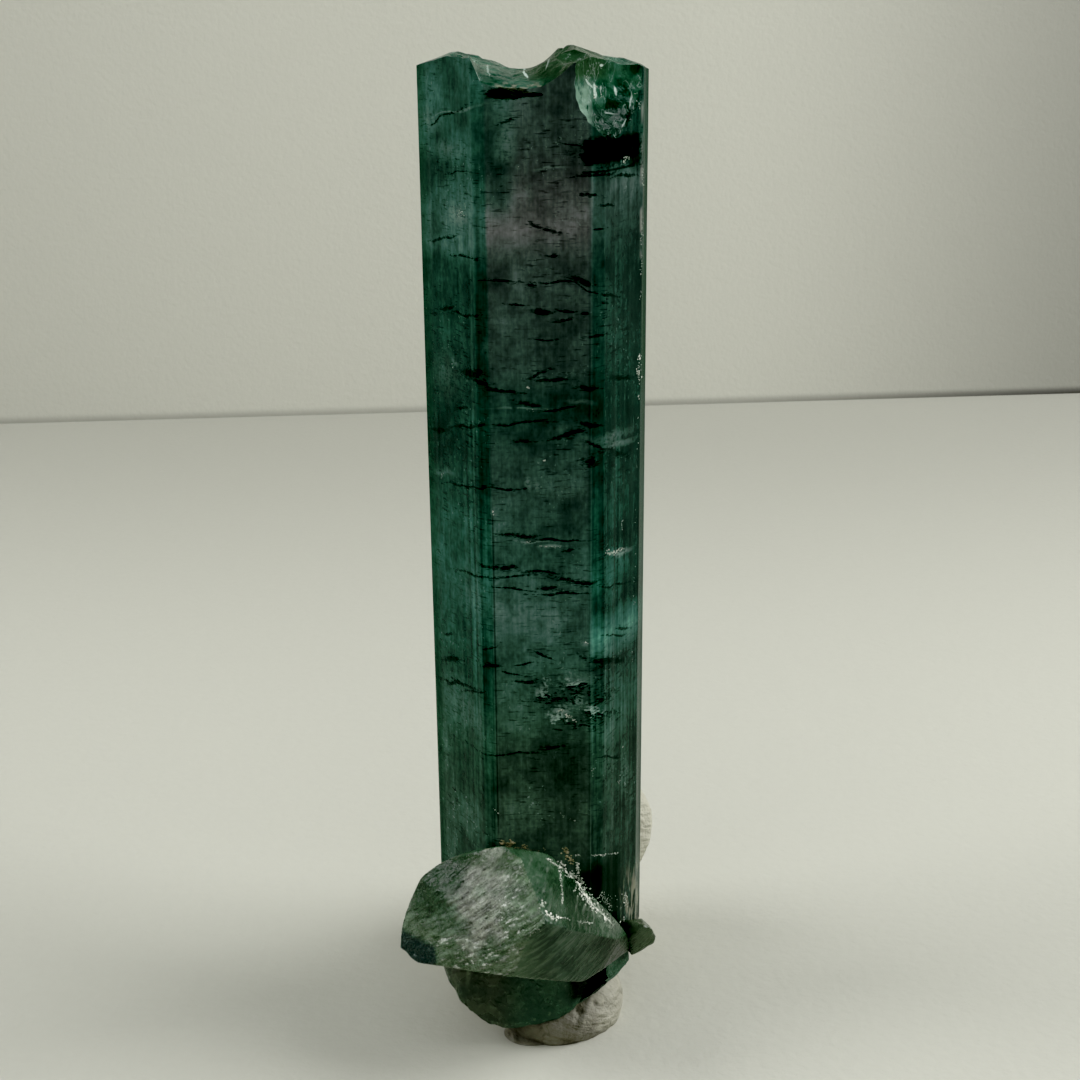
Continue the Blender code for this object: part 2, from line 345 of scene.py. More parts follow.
@dataclass
class Skin:
    """Closed surfaces as arrays: points in millimetres about the axis, and faces."""

    points: Array
    quads: Array
    fans: Array

    @classmethod
    def over(cls, rings: Array) -> "Skin":
        """A closed skin over rings of points, with a fan to a pole at either end.

        Args:
            rings: points as (ring, column, 3).

        Returns:
            A skin whose faces point out.
        """
        count, around = rings.shape[:2]
        poles = np.stack([rings[0].mean(axis=0), rings[-1].mean(axis=0)])
        points = np.concatenate([rings.reshape(-1, 3), poles])
        i, j = np.meshgrid(np.arange(count - 1), np.arange(around), indexing="ij")
        k = (j + 1) % around
        corners = (i * around + j, i * around + k, (i + 1) * around + k, (i + 1) * around + j)
        quads = column(*corners).reshape(-1, 4)
        j = np.arange(around)
        k = (j + 1) % around
        last = (count - 1) * around
        first_fan = column(count * around, k, j)
        last_fan = column(count * around + 1, last + j, last + k)
        fans = np.concatenate([first_fan, last_fan])
        a, b, c, d = (points[quads[:, n]] for n in range(4))
        volume = np.sum(a * np.cross(b, c)) + np.sum(a * np.cross(c, d))
        if volume < 0:
            quads, fans = quads[:, ::-1], fans[:, ::-1]
        return cls(points, quads, fans)

    @classmethod
    def merge(cls, skins: Sequence["Skin"]) -> "Skin":
        """Several skins kept as separate bodies in one."""
        starts = np.cumsum([0] + [len(skin.points) for skin in skins])
        return cls(
            np.concatenate([skin.points for skin in skins]),
            np.concatenate([skin.quads + start for skin, start in zip(skins, starts)]),
            np.concatenate([skin.fans + start for skin, start in zip(skins, starts)]),
        )

    def mesh(self, name: str) -> bpy.types.Mesh:
        """The same surfaces as a Blender mesh, in metres."""
        mesh = bpy.data.meshes.new(name)
        mesh.vertices.add(len(self.points))
        mesh.vertices.foreach_set("co", ((self.points + AXIS) * MM).astype(np.float32).ravel())
        corners = np.concatenate([self.quads.ravel(), self.fans.ravel()]).astype(np.int32)
        sizes = np.concatenate([np.full(len(self.quads), 4), np.full(len(self.fans), 3)])
        starts = np.concatenate([[0], np.cumsum(sizes)[:-1]]).astype(np.int32)
        mesh.loops.add(len(corners))
        mesh.loops.foreach_set("vertex_index", corners)
        mesh.polygons.add(len(sizes))
        mesh.polygons.foreach_set("loop_start", starts)
        mesh.update(calc_edges=True)
        return mesh


def closed_mesh(name: str, rings: Array) -> bpy.types.Mesh:
    """A mesh of the closed skin over rings of points."""
    return Skin.over(rings).mesh(name)


def centres_of(mesh: bpy.types.Mesh) -> tuple[Array, Array]:
    """Each face's centre, in millimetres about the axis, and its normal."""
    centre = np.empty(len(mesh.polygons) * 3, np.float32)
    normal = np.empty_like(centre)
    mesh.polygons.foreach_get("center", centre)
    mesh.polygons.foreach_get("normal", normal)
    return centre.reshape(-1, 3).astype(float) / MM - AXIS, normal.reshape(-1, 3)


def join(base: bpy.types.Mesh, tool: bpy.types.Mesh, how: Join) -> bpy.types.Mesh:
    """A new mesh: base united with the tool, or with the tool cut out of it."""
    scene = bpy.context.scene.collection
    body, other = (bpy.data.objects.new(part.name, part) for part in (base, tool))
    scene.objects.link(body)
    scene.objects.link(other)
    modifier = body.modifiers.new("Join", "BOOLEAN")
    modifier.operation = how.value
    modifier.solver = "MANIFOLD"
    modifier.object = other
    graph = bpy.context.evaluated_depsgraph_get()
    made = bpy.data.meshes.new_from_object(body.evaluated_get(graph))
    made.name = base.name
    for item in (body, other):
        bpy.data.objects.remove(item)
    return made


def piece(name: str, mesh: bpy.types.Mesh, slot: str, *nodes: str) -> bpy.types.Object:
    """Puts a finished mesh in the scene, on the root body.

    Args:
        name: the piece's name.
        mesh: its mesh, in place.
        slot: a material slot name; it is not used.
        nodes: the CAD nodes that it stands for.

    Returns:
        The new object.
    """
    item = bpy.data.objects.new(name, mesh)
    bpy.context.scene.collection.objects.link(item)
    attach(item, "root")
    if nodes:
        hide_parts(*nodes)
    LOG.info("%s: %d faces", name, len(mesh.polygons))
    return item


# --------------------------------------------------------------------- shapes


@dataclass
class Hull:
    """A convex block of crystal given by its corners, with softened edges.

    Its surface in a direction u from the centre is r = (sum of (n.u / d)^p)^(-1/p) over
    the hull's planes with normal n at distance d, which is their nearest crossing with
    the edges rounded more for a smaller p.
    """

    corners: tuple[Point, ...]
    centre: Point
    sharpness: float = 90.0

    def __post_init__(self) -> None:
        """Finds the hull's planes from its corners."""
        bm = bmesh.new()
        for corner in self.corners:
            bm.verts.new(corner)
        bmesh.ops.convex_hull(bm, input=bm.verts)
        bmesh.ops.recalc_face_normals(bm, faces=bm.faces)
        bm.normal_update()
        faces = [f for f in bm.faces if f.calc_area() > 1e-4]
        self.normals = np.array([f.normal[:] for f in faces])
        spots = np.array([f.calc_center_median()[:] for f in faces])
        bm.free()
        away = np.einsum("ij,ij->i", self.normals, spots - np.array(self.centre))
        flip = np.where(away < 0, -1.0, 1.0)
        self.normals = self.normals * flip[:, None]
        self.distances = np.abs(away)

    def reach(self, directions: Array) -> Array:
        """Distance from the centre to the surface along unit directions."""
        near = np.maximum(directions @ self.normals.T, 0.0) / self.distances
        top = near.max(axis=-1)
        total = ((near / top[..., None]) ** self.sharpness).sum(axis=-1)
        return total ** (-1.0 / self.sharpness) / top

    def facing(self, directions: Array) -> Array:
        """The normal of the plane that is met along unit directions."""
        near = (directions @ self.normals.T) / self.distances
        return self.normals[near.argmax(axis=-1)]

    def look_at(self, points: Array) -> tuple[Array, Array]:
        """Unit directions and distances from the centre to points."""
        away = points - np.array(self.centre)
        far = np.linalg.norm(away, axis=-1)
        return away / far[..., None], far

    def touches(self, points: Array, gap: float) -> Array:
        """True where points lie within a gap of the surface."""
        directions, far = self.look_at(points)
        return np.abs(far - self.reach(directions)) < gap

    def rings(self, rows: int, around: int, rough: Callable[[Array, Array], Array]) -> Array:
        """The surface as rings about the x axis: centre + u * (r(u) + rough(point, normal)).

        Args:
            rows: rings from the right end to the left end.
            around: points on each ring.
            rough: how far each point stands out, from its place and its plane's normal.

        Returns:
            Points as (ring, column, 3).
        """
        turn, lift = np.meshgrid(
            np.linspace(0.0, 2 * np.pi, around, endpoint=False),
            np.linspace(0.012, np.pi - 0.012, rows),
        )
        sideways = np.sin(lift)
        u = column(np.cos(lift), sideways * np.cos(turn), sideways * np.sin(turn))
        reach = self.reach(u)
        spots = np.array(self.centre) + u * reach[..., None]
        reach = reach + rough(spots, self.facing(u))
        return np.array(self.centre) + u * reach[..., None]


SIDE_CRYSTAL = Hull(
    corners=(
        (0.25, -9.80, 10.63),
        (-0.13, -8.60, 11.20), (-0.58, -7.40, 11.71), (-0.99, -6.20, 12.18),
        (1.42, -9.00, 9.71), (2.61, -7.70, 8.61), (3.97, -6.20, 7.34),
        (-0.59, -9.80, 9.71), (-1.52, -9.50, 8.96), (-2.45, -8.80, 6.95),
        (-3.61, -7.20, 10.35), (-5.20, -7.00, 8.49), (-5.74, -5.80, 10.13),
        (-3.10, -6.20, 11.51), (-3.63, -8.00, 7.92), (-4.60, -5.20, 10.95),
        (-2.05, -8.00, 10.81), (-1.80, -8.90, 9.91),
        (-6.43, -6.70, 6.35), (-7.47, -5.60, 6.60), (-7.36, -5.20, 7.80),
        (-6.97, -4.90, 8.80), (-6.34, -4.80, 10.27), (-5.80, -4.80, 10.76),
        (-5.21, -4.80, 11.20), (-3.97, -4.50, 11.60), (-2.09, -5.05, 12.30),
        (0.40, -5.10, 11.85), (1.81, -5.00, 10.07), (2.59, -5.00, 9.40),
        (3.77, -4.60, 7.83), (4.66, -4.20, 6.36), (4.78, -3.90, 5.25),
        (3.00, -7.00, 5.84), (2.20, -7.80, 5.81), (0.90, -8.80, 6.50),
        (-1.43, -9.00, 6.95), (-3.66, -8.00, 6.62), (-4.83, -7.20, 6.35),
        (-6.00, -3.80, 5.00), (-3.50, -2.00, 4.60), (3.30, -2.50, 4.30),
        (-3.50, -1.00, 9.00), (2.50, -1.00, 7.50),
    ),
    centre=(-1.20, -5.20, 8.20),
    sharpness=130.0,
)

ROOT = Hull(
    corners=(
        (-5.45, -3.05, 6.60), (-4.40, -4.90, 6.10), (2.60, -5.16, 6.60), (4.80, -3.00, 6.00),
        (-5.52, -3.20, 4.28), (-5.19, -3.60, 3.47), (-4.90, -4.20, 3.17), (-4.40, -4.90, 2.81),
        (-3.55, -5.10, 1.94), (-2.77, -5.16, 1.43), (-1.82, -5.16, 1.12), (0.83, -5.12, 1.72),
        (1.80, -5.06, 2.50), (3.73, -3.90, 3.20), (4.83, -3.25, 4.20), (4.20, -1.60, 4.60),
        (3.90, -1.50, 6.20), (-4.40, -1.30, 3.60), (-4.30, -1.20, 6.20), (-2.40, -1.10, 1.70),
        (1.10, -1.20, 1.95),
    ),
    centre=(-0.40, -3.20, 4.20),
    sharpness=70.0,
)

STUB = Hull(
    corners=(
        (4.60, -3.90, 5.90), (5.20, -3.90, 6.45), (5.62, -3.70, 6.62), (6.00, -3.50, 6.22),
        (6.23, -3.30, 5.66), (6.10, -3.30, 5.30), (5.52, -3.60, 5.08), (4.90, -3.80, 4.80),
        (5.95, -2.60, 5.90), (5.50, -2.40, 6.30), (5.50, -2.40, 5.20), (4.30, -2.40, 6.20),
        (4.30, -2.40, 4.90),
    ),
    centre=(5.20, -3.10, 5.70),
    sharpness=60.0,
)


@dataclass
class Prism:
    """The long crystal: a fluted outline carried upright, with both ends broken."""

    corners: tuple[tuple[float, float], ...] = (
        (5.52, 0.10), (3.00, 4.55), (-2.55, 4.80), (-3.15, 4.45), (-5.52, -0.15),
        (-2.82, -4.45), (-2.22, -4.80), (2.60, -4.80), (3.26, -4.42), (5.18, -1.30),
    )
    foot: float = 0.30
    top: float = 54.0
    flute_pitch: float = 0.095
    flute_depth: float = 0.014
    rows: int = 62
    break_x: tuple[float, ...] = (
        -5.6, -3.9, -3.3, -2.9, -2.4, -1.7, -1.0, -0.2, 0.4, 1.1, 1.9, 2.7, 3.3, 4.3, 5.1, 5.6,
    )
    break_front: tuple[float, ...] = (
        51.0, 51.5, 51.7, 51.75, 50.6, 50.4, 50.3, 50.3, 50.4, 50.8, 51.5, 51.4, 51.2, 51.2,
        51.0, 50.8,
    )
    break_crest: tuple[float, ...] = (
        51.1, 51.7, 51.8, 51.8, 51.4, 51.35, 51.0, 51.2, 51.65, 51.95, 52.0, 51.75, 51.5, 51.4,
        51.1, 50.8,
    )
    foot_x: tuple[float, ...] = (-5.6, -4.4, -3.0, -1.8, 0.8, 2.6, 4.0, 5.6)
    foot_height: tuple[float, ...] = (4.2, 3.1, 2.0, 1.6, 2.0, 3.0, 3.7, 4.4)

    def outline(self) -> Array:
        """The outline with every corner and evenly spaced points between, as (n, 2)."""
        runs = []
        for index, start in enumerate(self.corners):
            start = np.array(start)
            end = np.array(self.corners[(index + 1) % len(self.corners)])
            steps = max(2, round(float(np.linalg.norm(end - start)) / self.flute_pitch))
            runs.append(start + (end - start) * (np.arange(steps) / steps)[:, None])
        return np.concatenate(runs)

    def faces(self) -> tuple[Array, Array]:
        """A corner of each upright face, as (n, 2), and its outward normal, as (n, 3)."""
        corners = np.array(self.corners)
        edges = np.roll(corners, -1, axis=0) - corners
        normals = np.stack([edges[:, 1], -edges[:, 0], 0.0 * edges[:, 0]], axis=1)
        return corners, normals / np.linalg.norm(normals, axis=1)[:, None]

    def press(self, points: Array, cover: float) -> Array:
        """Presses what lies outside the faces back under them, cover deep."""
        for corner, out in zip(*self.faces()):
            proud = np.maximum((points[..., :2] - corner) @ out[:2] + cover, 0.0)
            points = points - proud[..., None] * out
        return points

    def rings(self) -> Array:
        """The outline carried up, scaled by 1 - flute(s, z) / |p|.

        flute is noise that is fine across the arc length s and very long along z.
        """
        outline = self.outline()
        step = np.linalg.norm(np.roll(outline, -1, axis=0) - outline, axis=1)
        arc = np.concatenate([[0.0], np.cumsum(step)[:-1]])
        z = np.linspace(self.foot, self.top, self.rows)
        s, z = np.meshgrid(arc, z)
        broad = value_noise(column(s * 1.3, z * 0.02, 0.0 * s), 3)
        middle = value_noise(column(s * 3.7, z * 0.035, 0.0 * s), 4)
        fine = value_noise(column(s * 9.0, z * 0.06, 0.0 * s), 5)
        flute = self.flute_depth * (1.1 * broad + 0.8 * middle + 0.5 * fine)
        reach = np.linalg.norm(outline, axis=1)
        scale = 1.0 - (flute + 0.01) / reach
        return column(outline[:, 0] * scale, outline[:, 1] * scale, z)

    @staticmethod
    def climb(y: Array) -> Array:
        """1 - (1 - t)^2 from the front rim to the crest: steep first, then level."""
        t = np.clip((y + 4.8) / 4.0, 0.0, 1.0)
        return 1.0 - (1.0 - t) ** 2

    def break_surface(self, x: Array, y: Array) -> Array:
        """Height of the broken top: front rim to crest, then down to the back.

        Shell-shaped chips, each a shallow bowl h + r^2 / 2R, cut into it and meet in
        sharp ridges.
        """
        front = np.interp(x, self.break_x, self.break_front)
        crest = np.interp(x, self.break_x, self.break_crest)
        height = front + (crest - front) * self.climb(y)
        height = height - 1.1 * np.clip((y + 0.4) / 5.2, 0.0, 2.0) ** 2
        index = np.arange(30)
        draw = [lattice(column(index, 0 * index, 0 * index), 90 + n) for n in range(4)]
        chip_x, chip_y = 5.6 * draw[0], 5.0 * draw[1]
        bend = 1.9 + 1.2 * draw[2]
        deep = 0.16 + 0.12 * draw[3]
        level = np.interp(chip_x, self.break_x, self.break_front)
        rise = np.interp(chip_x, self.break_x, self.break_crest) - level
        level = level + rise * self.climb(chip_y)
        level = level - 1.1 * np.clip((chip_y + 0.4) / 5.2, 0.0, 2.0) ** 2 - deep
        for n in index:
            reach = (x - chip_x[n]) ** 2 + (y - chip_y[n]) ** 2
            height = np.minimum(height, level[n] + reach / (2.0 * bend[n]))
        return height + 0.02 * fractal(column(x * 2.0, y * 2.0, 0.0 * x), 3, 21)

    def foot_surface(self, x: Array, y: Array) -> Array:
        """Height of the broken foot: a table across x, rising to the back, with ridges."""
        base = np.interp(x, self.foot_x, self.foot_height) + 0.10 * (y + 4.8)
        ridges = 0.5 - np.abs(fractal(column(x * 0.8, y * 0.8, 0.0 * x), 4, 33))
        return base + 0.2 * ridges

    @staticmethod
    def break_block(
        name: str, surface: Callable[[Array, Array], Array], far: float
    ) -> bpy.types.Mesh:
        """A round block between a broken surface and a flat far side, for cutting."""
        radius, turn = np.meshgrid(
            np.linspace(0.02, 7.2, 110),
            np.linspace(0.0, 2 * np.pi, 240, endpoint=False),
            indexing="ij",
        )
        x, y = radius * np.cos(turn), radius * np.sin(turn)
        broken = column(x, y, surface(x, y))
        flat = column(x[::-1][::30], y[::-1][::30], far + 0.0 * x[::30])
        return closed_mesh(name, np.concatenate([broken, flat]))


@dataclass(frozen=True)
class Scoop:
    """A shell-shaped chip: a rippled ball stretched, turned and cut out of the prism."""

    centre: Point
    half_sizes: Point
    turn: float = 0.0
    ripple: float = 0.02

    def rings(self, rows: int = 70, around: int = 130) -> Array:
        """centre + turn(half_sizes * u * (1 + ripple * noise(u))), u on the unit ball."""
        turn, lift = np.meshgrid(
            np.linspace(0.0, 2 * np.pi, around, endpoint=False),
            np.linspace(0.02, np.pi - 0.02, rows),
        )
        u = column(np.sin(lift) * np.cos(turn), np.sin(lift) * np.sin(turn), np.cos(lift))
        ridges = 0.4 - np.abs(fractal(u * np.array([3.4, 3.4, 1.2]), 3, 8))
        rings = np.sin(30.0 * lift + 2.5 * value_noise(u * 3.0, 5))
        spots = u * np.array(self.half_sizes)
        spots = spots * (1.0 - self.ripple * ridges + 0.2 * self.ripple * rings)[..., None]
        angle = math.radians(self.turn)
        c, s = math.cos(angle), math.sin(angle)
        x, y, z = spots[..., 0], spots[..., 1], spots[..., 2]
        return np.array(self.centre) + column(c * x - s * y, s * x + c * y, z)

    def touches(self, points: Array, margin: float) -> Array:
        """True where points lie on the ball or within a share of its size outside it."""
        away = points - np.array(self.centre)
        angle = math.radians(self.turn)
        c, s = math.cos(angle), math.sin(angle)
        x = (c * away[..., 0] + s * away[..., 1]) / self.half_sizes[0]
        y = (c * away[..., 1] - s * away[..., 0]) / self.half_sizes[1]
        return np.sqrt(x * x + y * y + (away[..., 2] / self.half_sizes[2]) ** 2) < 1.0 + margin


@dataclass(frozen=True)
class Outlook:
    """The point that the front of the specimen is studied from, about the axis."""

    place: Point = (0.13, -83.60, 55.60)
    ior: float = 1.63

    def ray(self, x: float, z: float) -> tuple[Array, Array]:
        """Where a sight line to x, z on the front plane starts, and its direction."""
        start = np.array(self.place)
        away = np.array([x, FRONT, z]) - start
        return start, away / np.linalg.norm(away)

    def meet(self, prism: Prism, x: float, z: float) -> tuple[Array, Array, Array]:
        """Where the sight line to x, z meets a prism face, the way it bends, and the face.

        The sight line meets the outline's edges as planes and bends there by Snell's law.

        Returns:
            The spot, the bent direction inside and the face's outward normal.
        """
        start, ray = self.ray(x, z)
        corners, normals = prism.faces()
        facing = normals @ ray
        gap = np.einsum("ij,ij->i", normals[:, :2], corners - start[:2])
        far = np.where(facing < -1e-6, gap / np.minimum(facing, -1e-6), -np.inf)
        face = int(far.argmax())
        cosine = -facing[face]
        bent = math.sqrt(1.0 - (1.0 - cosine**2) / self.ior**2)
        inner = ray / self.ior + (cosine / self.ior - bent) * normals[face]
        return start + ray * far[face], inner, normals[face]

    def lay(
        self, prism: Prism, x: float, z: float, half_x: float, rise: float
    ) -> tuple[tuple[float, float], float, float]:
        """Where a mark seen between x - half_x and x + half_x lies on the prism.

        Returns:
            Its middle's x and z, half its width along x and its right end's rise.
        """
        left = self.meet(prism, x - half_x, z - rise)[0]
        right = self.meet(prism, x + half_x, z + rise)[0]
        middle = (left + right) * 0.5
        half = max(0.5 * float(right[0] - left[0]), 0.02)
        return (float(middle[0]), float(middle[2])), half, 0.5 * float(right[2] - left[2])


# ----------------------------------------------------------------- the crystal


class Facet(Enum):
    """The finishes on the crystal, in the order of its material slots."""

    PRISM = 0
    BREAK = 1
    ROUGH = 2
    UPPER = 3
    LOWER = 4
    ROOT = 5
    BACK = 6


@dataclass(frozen=True)
class Glass:
    """Green tourmaline: how clear and how bent its light is, and what its inside takes."""

    transmission: float
    ior: float = 1.63
    gloss: Colour = (1.0, 1.0, 1.0, 1.0)
    inside: Colour = (0.22, 0.50, 0.37, 1.0)
    density: float = 90.0

    def dress(self, sheet: Sheet, **sockets: Any) -> bpy.types.Material:
        """Ends a sheet as this glass, with its varying colour, roughness and normal."""
        sheet.absorb(self.inside, self.density)
        return sheet.surface(
            Transmission_Weight=self.transmission,
            IOR=self.ior,
            Specular_Tint=self.gloss,
            **sockets,
        )


@dataclass(frozen=True)
class BandTone:
    """One band's tone at a height: its lightness, partly painted light and shade of the face it
    covers, and its warmth.
    """

    height: float
    light: float
    warmth: float


# Each band's tone by height; the bands differ partly by painted light and shade of their faces.
BAND_TONES: dict[str, tuple[BandTone, ...]] = {
    "left": tuple(starmap(BandTone, (
        (0.0, 0.20, 0.3), (13.0, 0.23, 0.3), (16.0, 0.205, 0.2),
        (19.0, 0.21, 0.15), (20.5, 0.18, 0.1), (22.0, 0.20, 0.1),
        (23.6, 0.195, 0.1), (25.0, 0.245, 0.12), (27.0, 0.28, 0.1),
        (31.0, 0.175, 0.1), (33.0, 0.125, 0.1), (34.5, 0.153, 0.05),
        (37.0, 0.155, 0.12), (40.0, 0.165, 0.1), (42.2, 0.24, 0.15),
        (42.8, 0.34, 0.28), (44.0, 0.29, 0.28), (45.8, 0.22, 0.2),
        (46.6, 0.185, 0.2), (47.6, 0.27, 0.2), (50.0, 0.30, 0.2),
        (51.5, 0.235, 0.2),
    ))),
    "middle": tuple(starmap(BandTone, (
        (0.0, 0.45, 0.5), (11.0, 0.45, 0.5), (14.0, 0.34, 0.48),
        (15.5, 0.28, 0.46), (17.0, 0.235, 0.45), (19.0, 0.335, 0.38),
        (20.4, 0.29, 0.38), (22.0, 0.345, 0.36), (24.8, 0.44, 0.45),
        (28.0, 0.35, 0.37), (31.0, 0.34, 0.46), (33.0, 0.30, 0.45),
        (35.5, 0.28, 0.30), (37.5, 0.29, 0.54), (41.0, 0.33, 0.62),
        (42.5, 0.33, 0.67), (44.0, 0.45, 0.93), (46.0, 0.345, 0.85),
        (46.8, 0.27, 0.75), (48.0, 0.30, 0.65), (50.5, 0.38, 0.62),
    ))),
    "right": tuple(starmap(BandTone, (
        (0.0, 0.14, 0.4), (14.0, 0.145, 0.3), (17.0, 0.14, 0.25),
        (18.7, 0.21, 0.2), (20.0, 0.18, 0.2), (22.0, 0.10, 0.25),
        (23.6, 0.37, 0.06), (25.1, 0.11, 0.1), (26.6, 0.185, 0.03),
        (28.4, 0.11, 0.1), (30.0, 0.145, 0.05),
        (31.0, 0.125, 0.12), (33.0, 0.088, 0.05), (34.0, 0.10, 0.05),
        (35.5, 0.107, 0.05), (37.0, 0.115, 0.08), (39.0, 0.108, 0.2),
        (42.0, 0.13, 0.2), (43.0, 0.15, 0.3), (44.5, 0.175, 0.45),
        (46.0, 0.23, 0.5), (47.0, 0.13, 0.2), (48.5, 0.145, 0.1),
        (50.5, 0.165, 0.05),
    ))),
}


ACROSS_WIDE = 12.0
ACROSS_PAINTED_LIGHT: tuple[tuple[float, float], ...] = (
    # (x / ACROSS_WIDE + 0.5, half the prism's lightness there): painted light and shade across the
    # faces, lightest on the right bevel
    (0.080, 0.47), (0.220, 0.47), (0.262, 0.54), (0.330, 0.52), (0.425, 0.54), (0.540, 0.43),
    (0.630, 0.39), (0.690, 0.43), (0.714, 0.48), (0.720, 0.66), (0.762, 0.72), (0.775, 0.56),
    (0.860, 0.47),
)


@dataclass(frozen=True)
class Veil:
    """A pale patch on the front plane, painted reflection: a healed crack or chip that sends light
    back.

    turn is its slope in degrees, and light is how strongly it shows.
    """

    x: float
    z: float
    half_x: float
    half_z: float
    light: float
    turn: float = 0.0

    def rise(self) -> float:
        """How much its right end lies above its middle."""
        return self.half_x * math.tan(math.radians(self.turn))


VEILS: tuple[Veil, ...] = (
    # the top
    Veil(-1.25, 48.0, 0.40, 0.85, 0.28),
    Veil(-1.45, 49.2, 0.75, 0.75, 0.10),
    Veil(-0.35, 47.6, 0.12, 1.10, 0.12),
    Veil(-3.90, 47.7, 0.60, 0.40, 0.12),
    Veil(-4.80, 49.0, 0.55, 0.55, 0.10),
    Veil(-3.60, 49.4, 1.40, 0.05, 0.25, 20.0),
    Veil(0.70, 46.75, 0.70, 0.06, 0.30),
    Veil(-0.70, 46.95, 0.12, 0.14, 0.25),
    # the upper third
    Veil(-3.50, 44.7, 0.45, 0.45, 0.25, 40.0),
    Veil(-3.30, 45.2, 1.10, 1.30, 0.06),
    Veil(1.75, 44.9, 1.10, 0.90, 0.05),
    Veil(-0.30, 45.7, 0.20, 0.40, 0.14),
    Veil(2.60, 45.2, 0.14, 0.35, 0.14),
    Veil(-1.30, 43.0, 0.60, 0.50, 0.06),
    Veil(1.90, 40.9, 0.90, 0.50, 0.05),
    # above the middle
    Veil(-4.20, 37.2, 0.55, 1.10, 0.10, -25.0),
    Veil(-3.80, 37.9, 0.14, 0.22, 0.16),
    Veil(-2.40, 38.5, 0.18, 0.50, 0.10),
    Veil(-0.60, 35.55, 1.30, 0.05, 0.30),
    Veil(3.35, 34.2, 1.20, 0.30, 0.14, 14.0),
    Veil(3.90, 33.8, 0.80, 0.20, 0.20, 4.0),
    Veil(2.10, 35.8, 0.60, 0.10, 0.20, -14.0),
    Veil(1.20, 34.6, 0.60, 0.25, 0.07),
    # the middle
    Veil(-0.45, 31.8, 0.16, 0.32, 0.35),
    Veil(-0.05, 31.7, 0.14, 0.32, 0.25),
    Veil(1.15, 31.6, 1.20, 0.55, 0.09),
    Veil(-4.45, 32.4, 0.55, 0.16, 0.12),
    Veil(-2.10, 30.4, 0.14, 0.24, 0.22),
    Veil(-0.20, 28.85, 0.90, 0.06, 0.45, -6.0),
    Veil(0.80, 28.60, 0.70, 0.05, 0.40),
    Veil(4.10, 28.35, 0.45, 0.14, 0.30, 12.0),
    Veil(-3.00, 26.30, 1.00, 1.20, 0.06),
    # the lower third
    Veil(2.35, 23.5, 0.20, 0.14, 0.35),
    Veil(-3.75, 20.2, 0.90, 1.60, 0.09, 12.0),
    Veil(0.30, 21.3, 0.16, 0.22, 0.40),
    Veil(1.20, 19.7, 0.60, 0.22, 0.30, 20.0),
    Veil(2.10, 20.3, 0.25, 0.25, 0.25),
    Veil(1.80, 21.3, 0.40, 0.14, 0.70, 8.0),
    Veil(2.75, 19.8, 0.35, 0.18, 0.60, -20.0),
    Veil(1.05, 19.5, 0.30, 0.16, 0.60, 10.0),
    Veil(0.15, 20.75, 0.25, 0.30, 0.45, 60.0),
    Veil(2.00, 21.6, 0.80, 0.40, 0.10),
)

BREAK_GLINTS: tuple[Veil, ...] = (
    Veil(2.82, 50.10, 0.45, 0.075, 1.0, -83.0),
    Veil(2.55, 50.45, 0.35, 0.04, 0.7, -55.0),
    Veil(3.10, 50.10, 0.28, 0.03, 0.6, -86.0),
    Veil(3.82, 50.02, 0.30, 0.05, 0.9, -75.0),
    Veil(3.12, 51.20, 0.10, 0.06, 1.0),
    Veil(3.55, 49.05, 0.35, 0.03, 0.5, -10.0),
    Veil(4.55, 49.60, 0.50, 0.04, 0.5, 80.0),
    Veil(4.20, 48.60, 0.25, 0.03, 0.5, 60.0),
    Veil(-2.65, 51.10, 0.62, 0.05, 0.7, -62.0),
    Veil(-2.05, 51.05, 0.30, 0.04, 0.4, -70.0),
    Veil(-0.35, 50.85, 0.22, 0.05, 0.9, -50.0),
    Veil(0.70, 51.40, 0.45, 0.03, 0.4, 65.0),
)


@dataclass(frozen=True)
class Grain:
    """What the prism's marks are worked out from: its coordinates and its noises.

    front is 1 on the faces that look forward. bent_x and bent_z are x and z pushed about
    by noise, most where the prism is crumpled.
    """

    sheet: Sheet
    x: Signal
    z: Signal
    front: Signal
    cloud: Signal
    mottle: Signal
    fine: Signal
    warp: Signal
    tear: Signal
    crumpled: Signal
    bent_x: Signal
    bent_z: Signal

    @classmethod
    def on(cls, sheet: Sheet) -> "Grain":
        """Adds the coordinates and the noises to a sheet."""
        x, y, z = sheet.axes()
        cloud = sheet.noise((0.40, 0.40, 0.30), 4.0)
        mottle = sheet.noise((1.4, 1.4, 1.2), 3.0)
        fine = sheet.noise((5.0, 5.0, 3.5), 3.0)
        warp = sheet.noise((0.6, 0.6, 0.9), 1.0)
        tear = sheet.noise((3.0, 3.0, 9.0), 3.0)
        crumpled = x.band(0.0, 3.8, 0.6) * z.band(18.2, 22.0, 0.6)
        bent_x = x + mottle * 0.5 + (fine - 0.5) * crumpled * 2.0
        bent_z = z + warp * 0.6 + (tear - 0.5) * crumpled * 2.0
        front = 1.0 - y.fade(-1.0, 0.5)
        return cls(sheet, x, z, front, cloud, mottle, fine, warp, tear, crumpled, bent_x, bent_z)


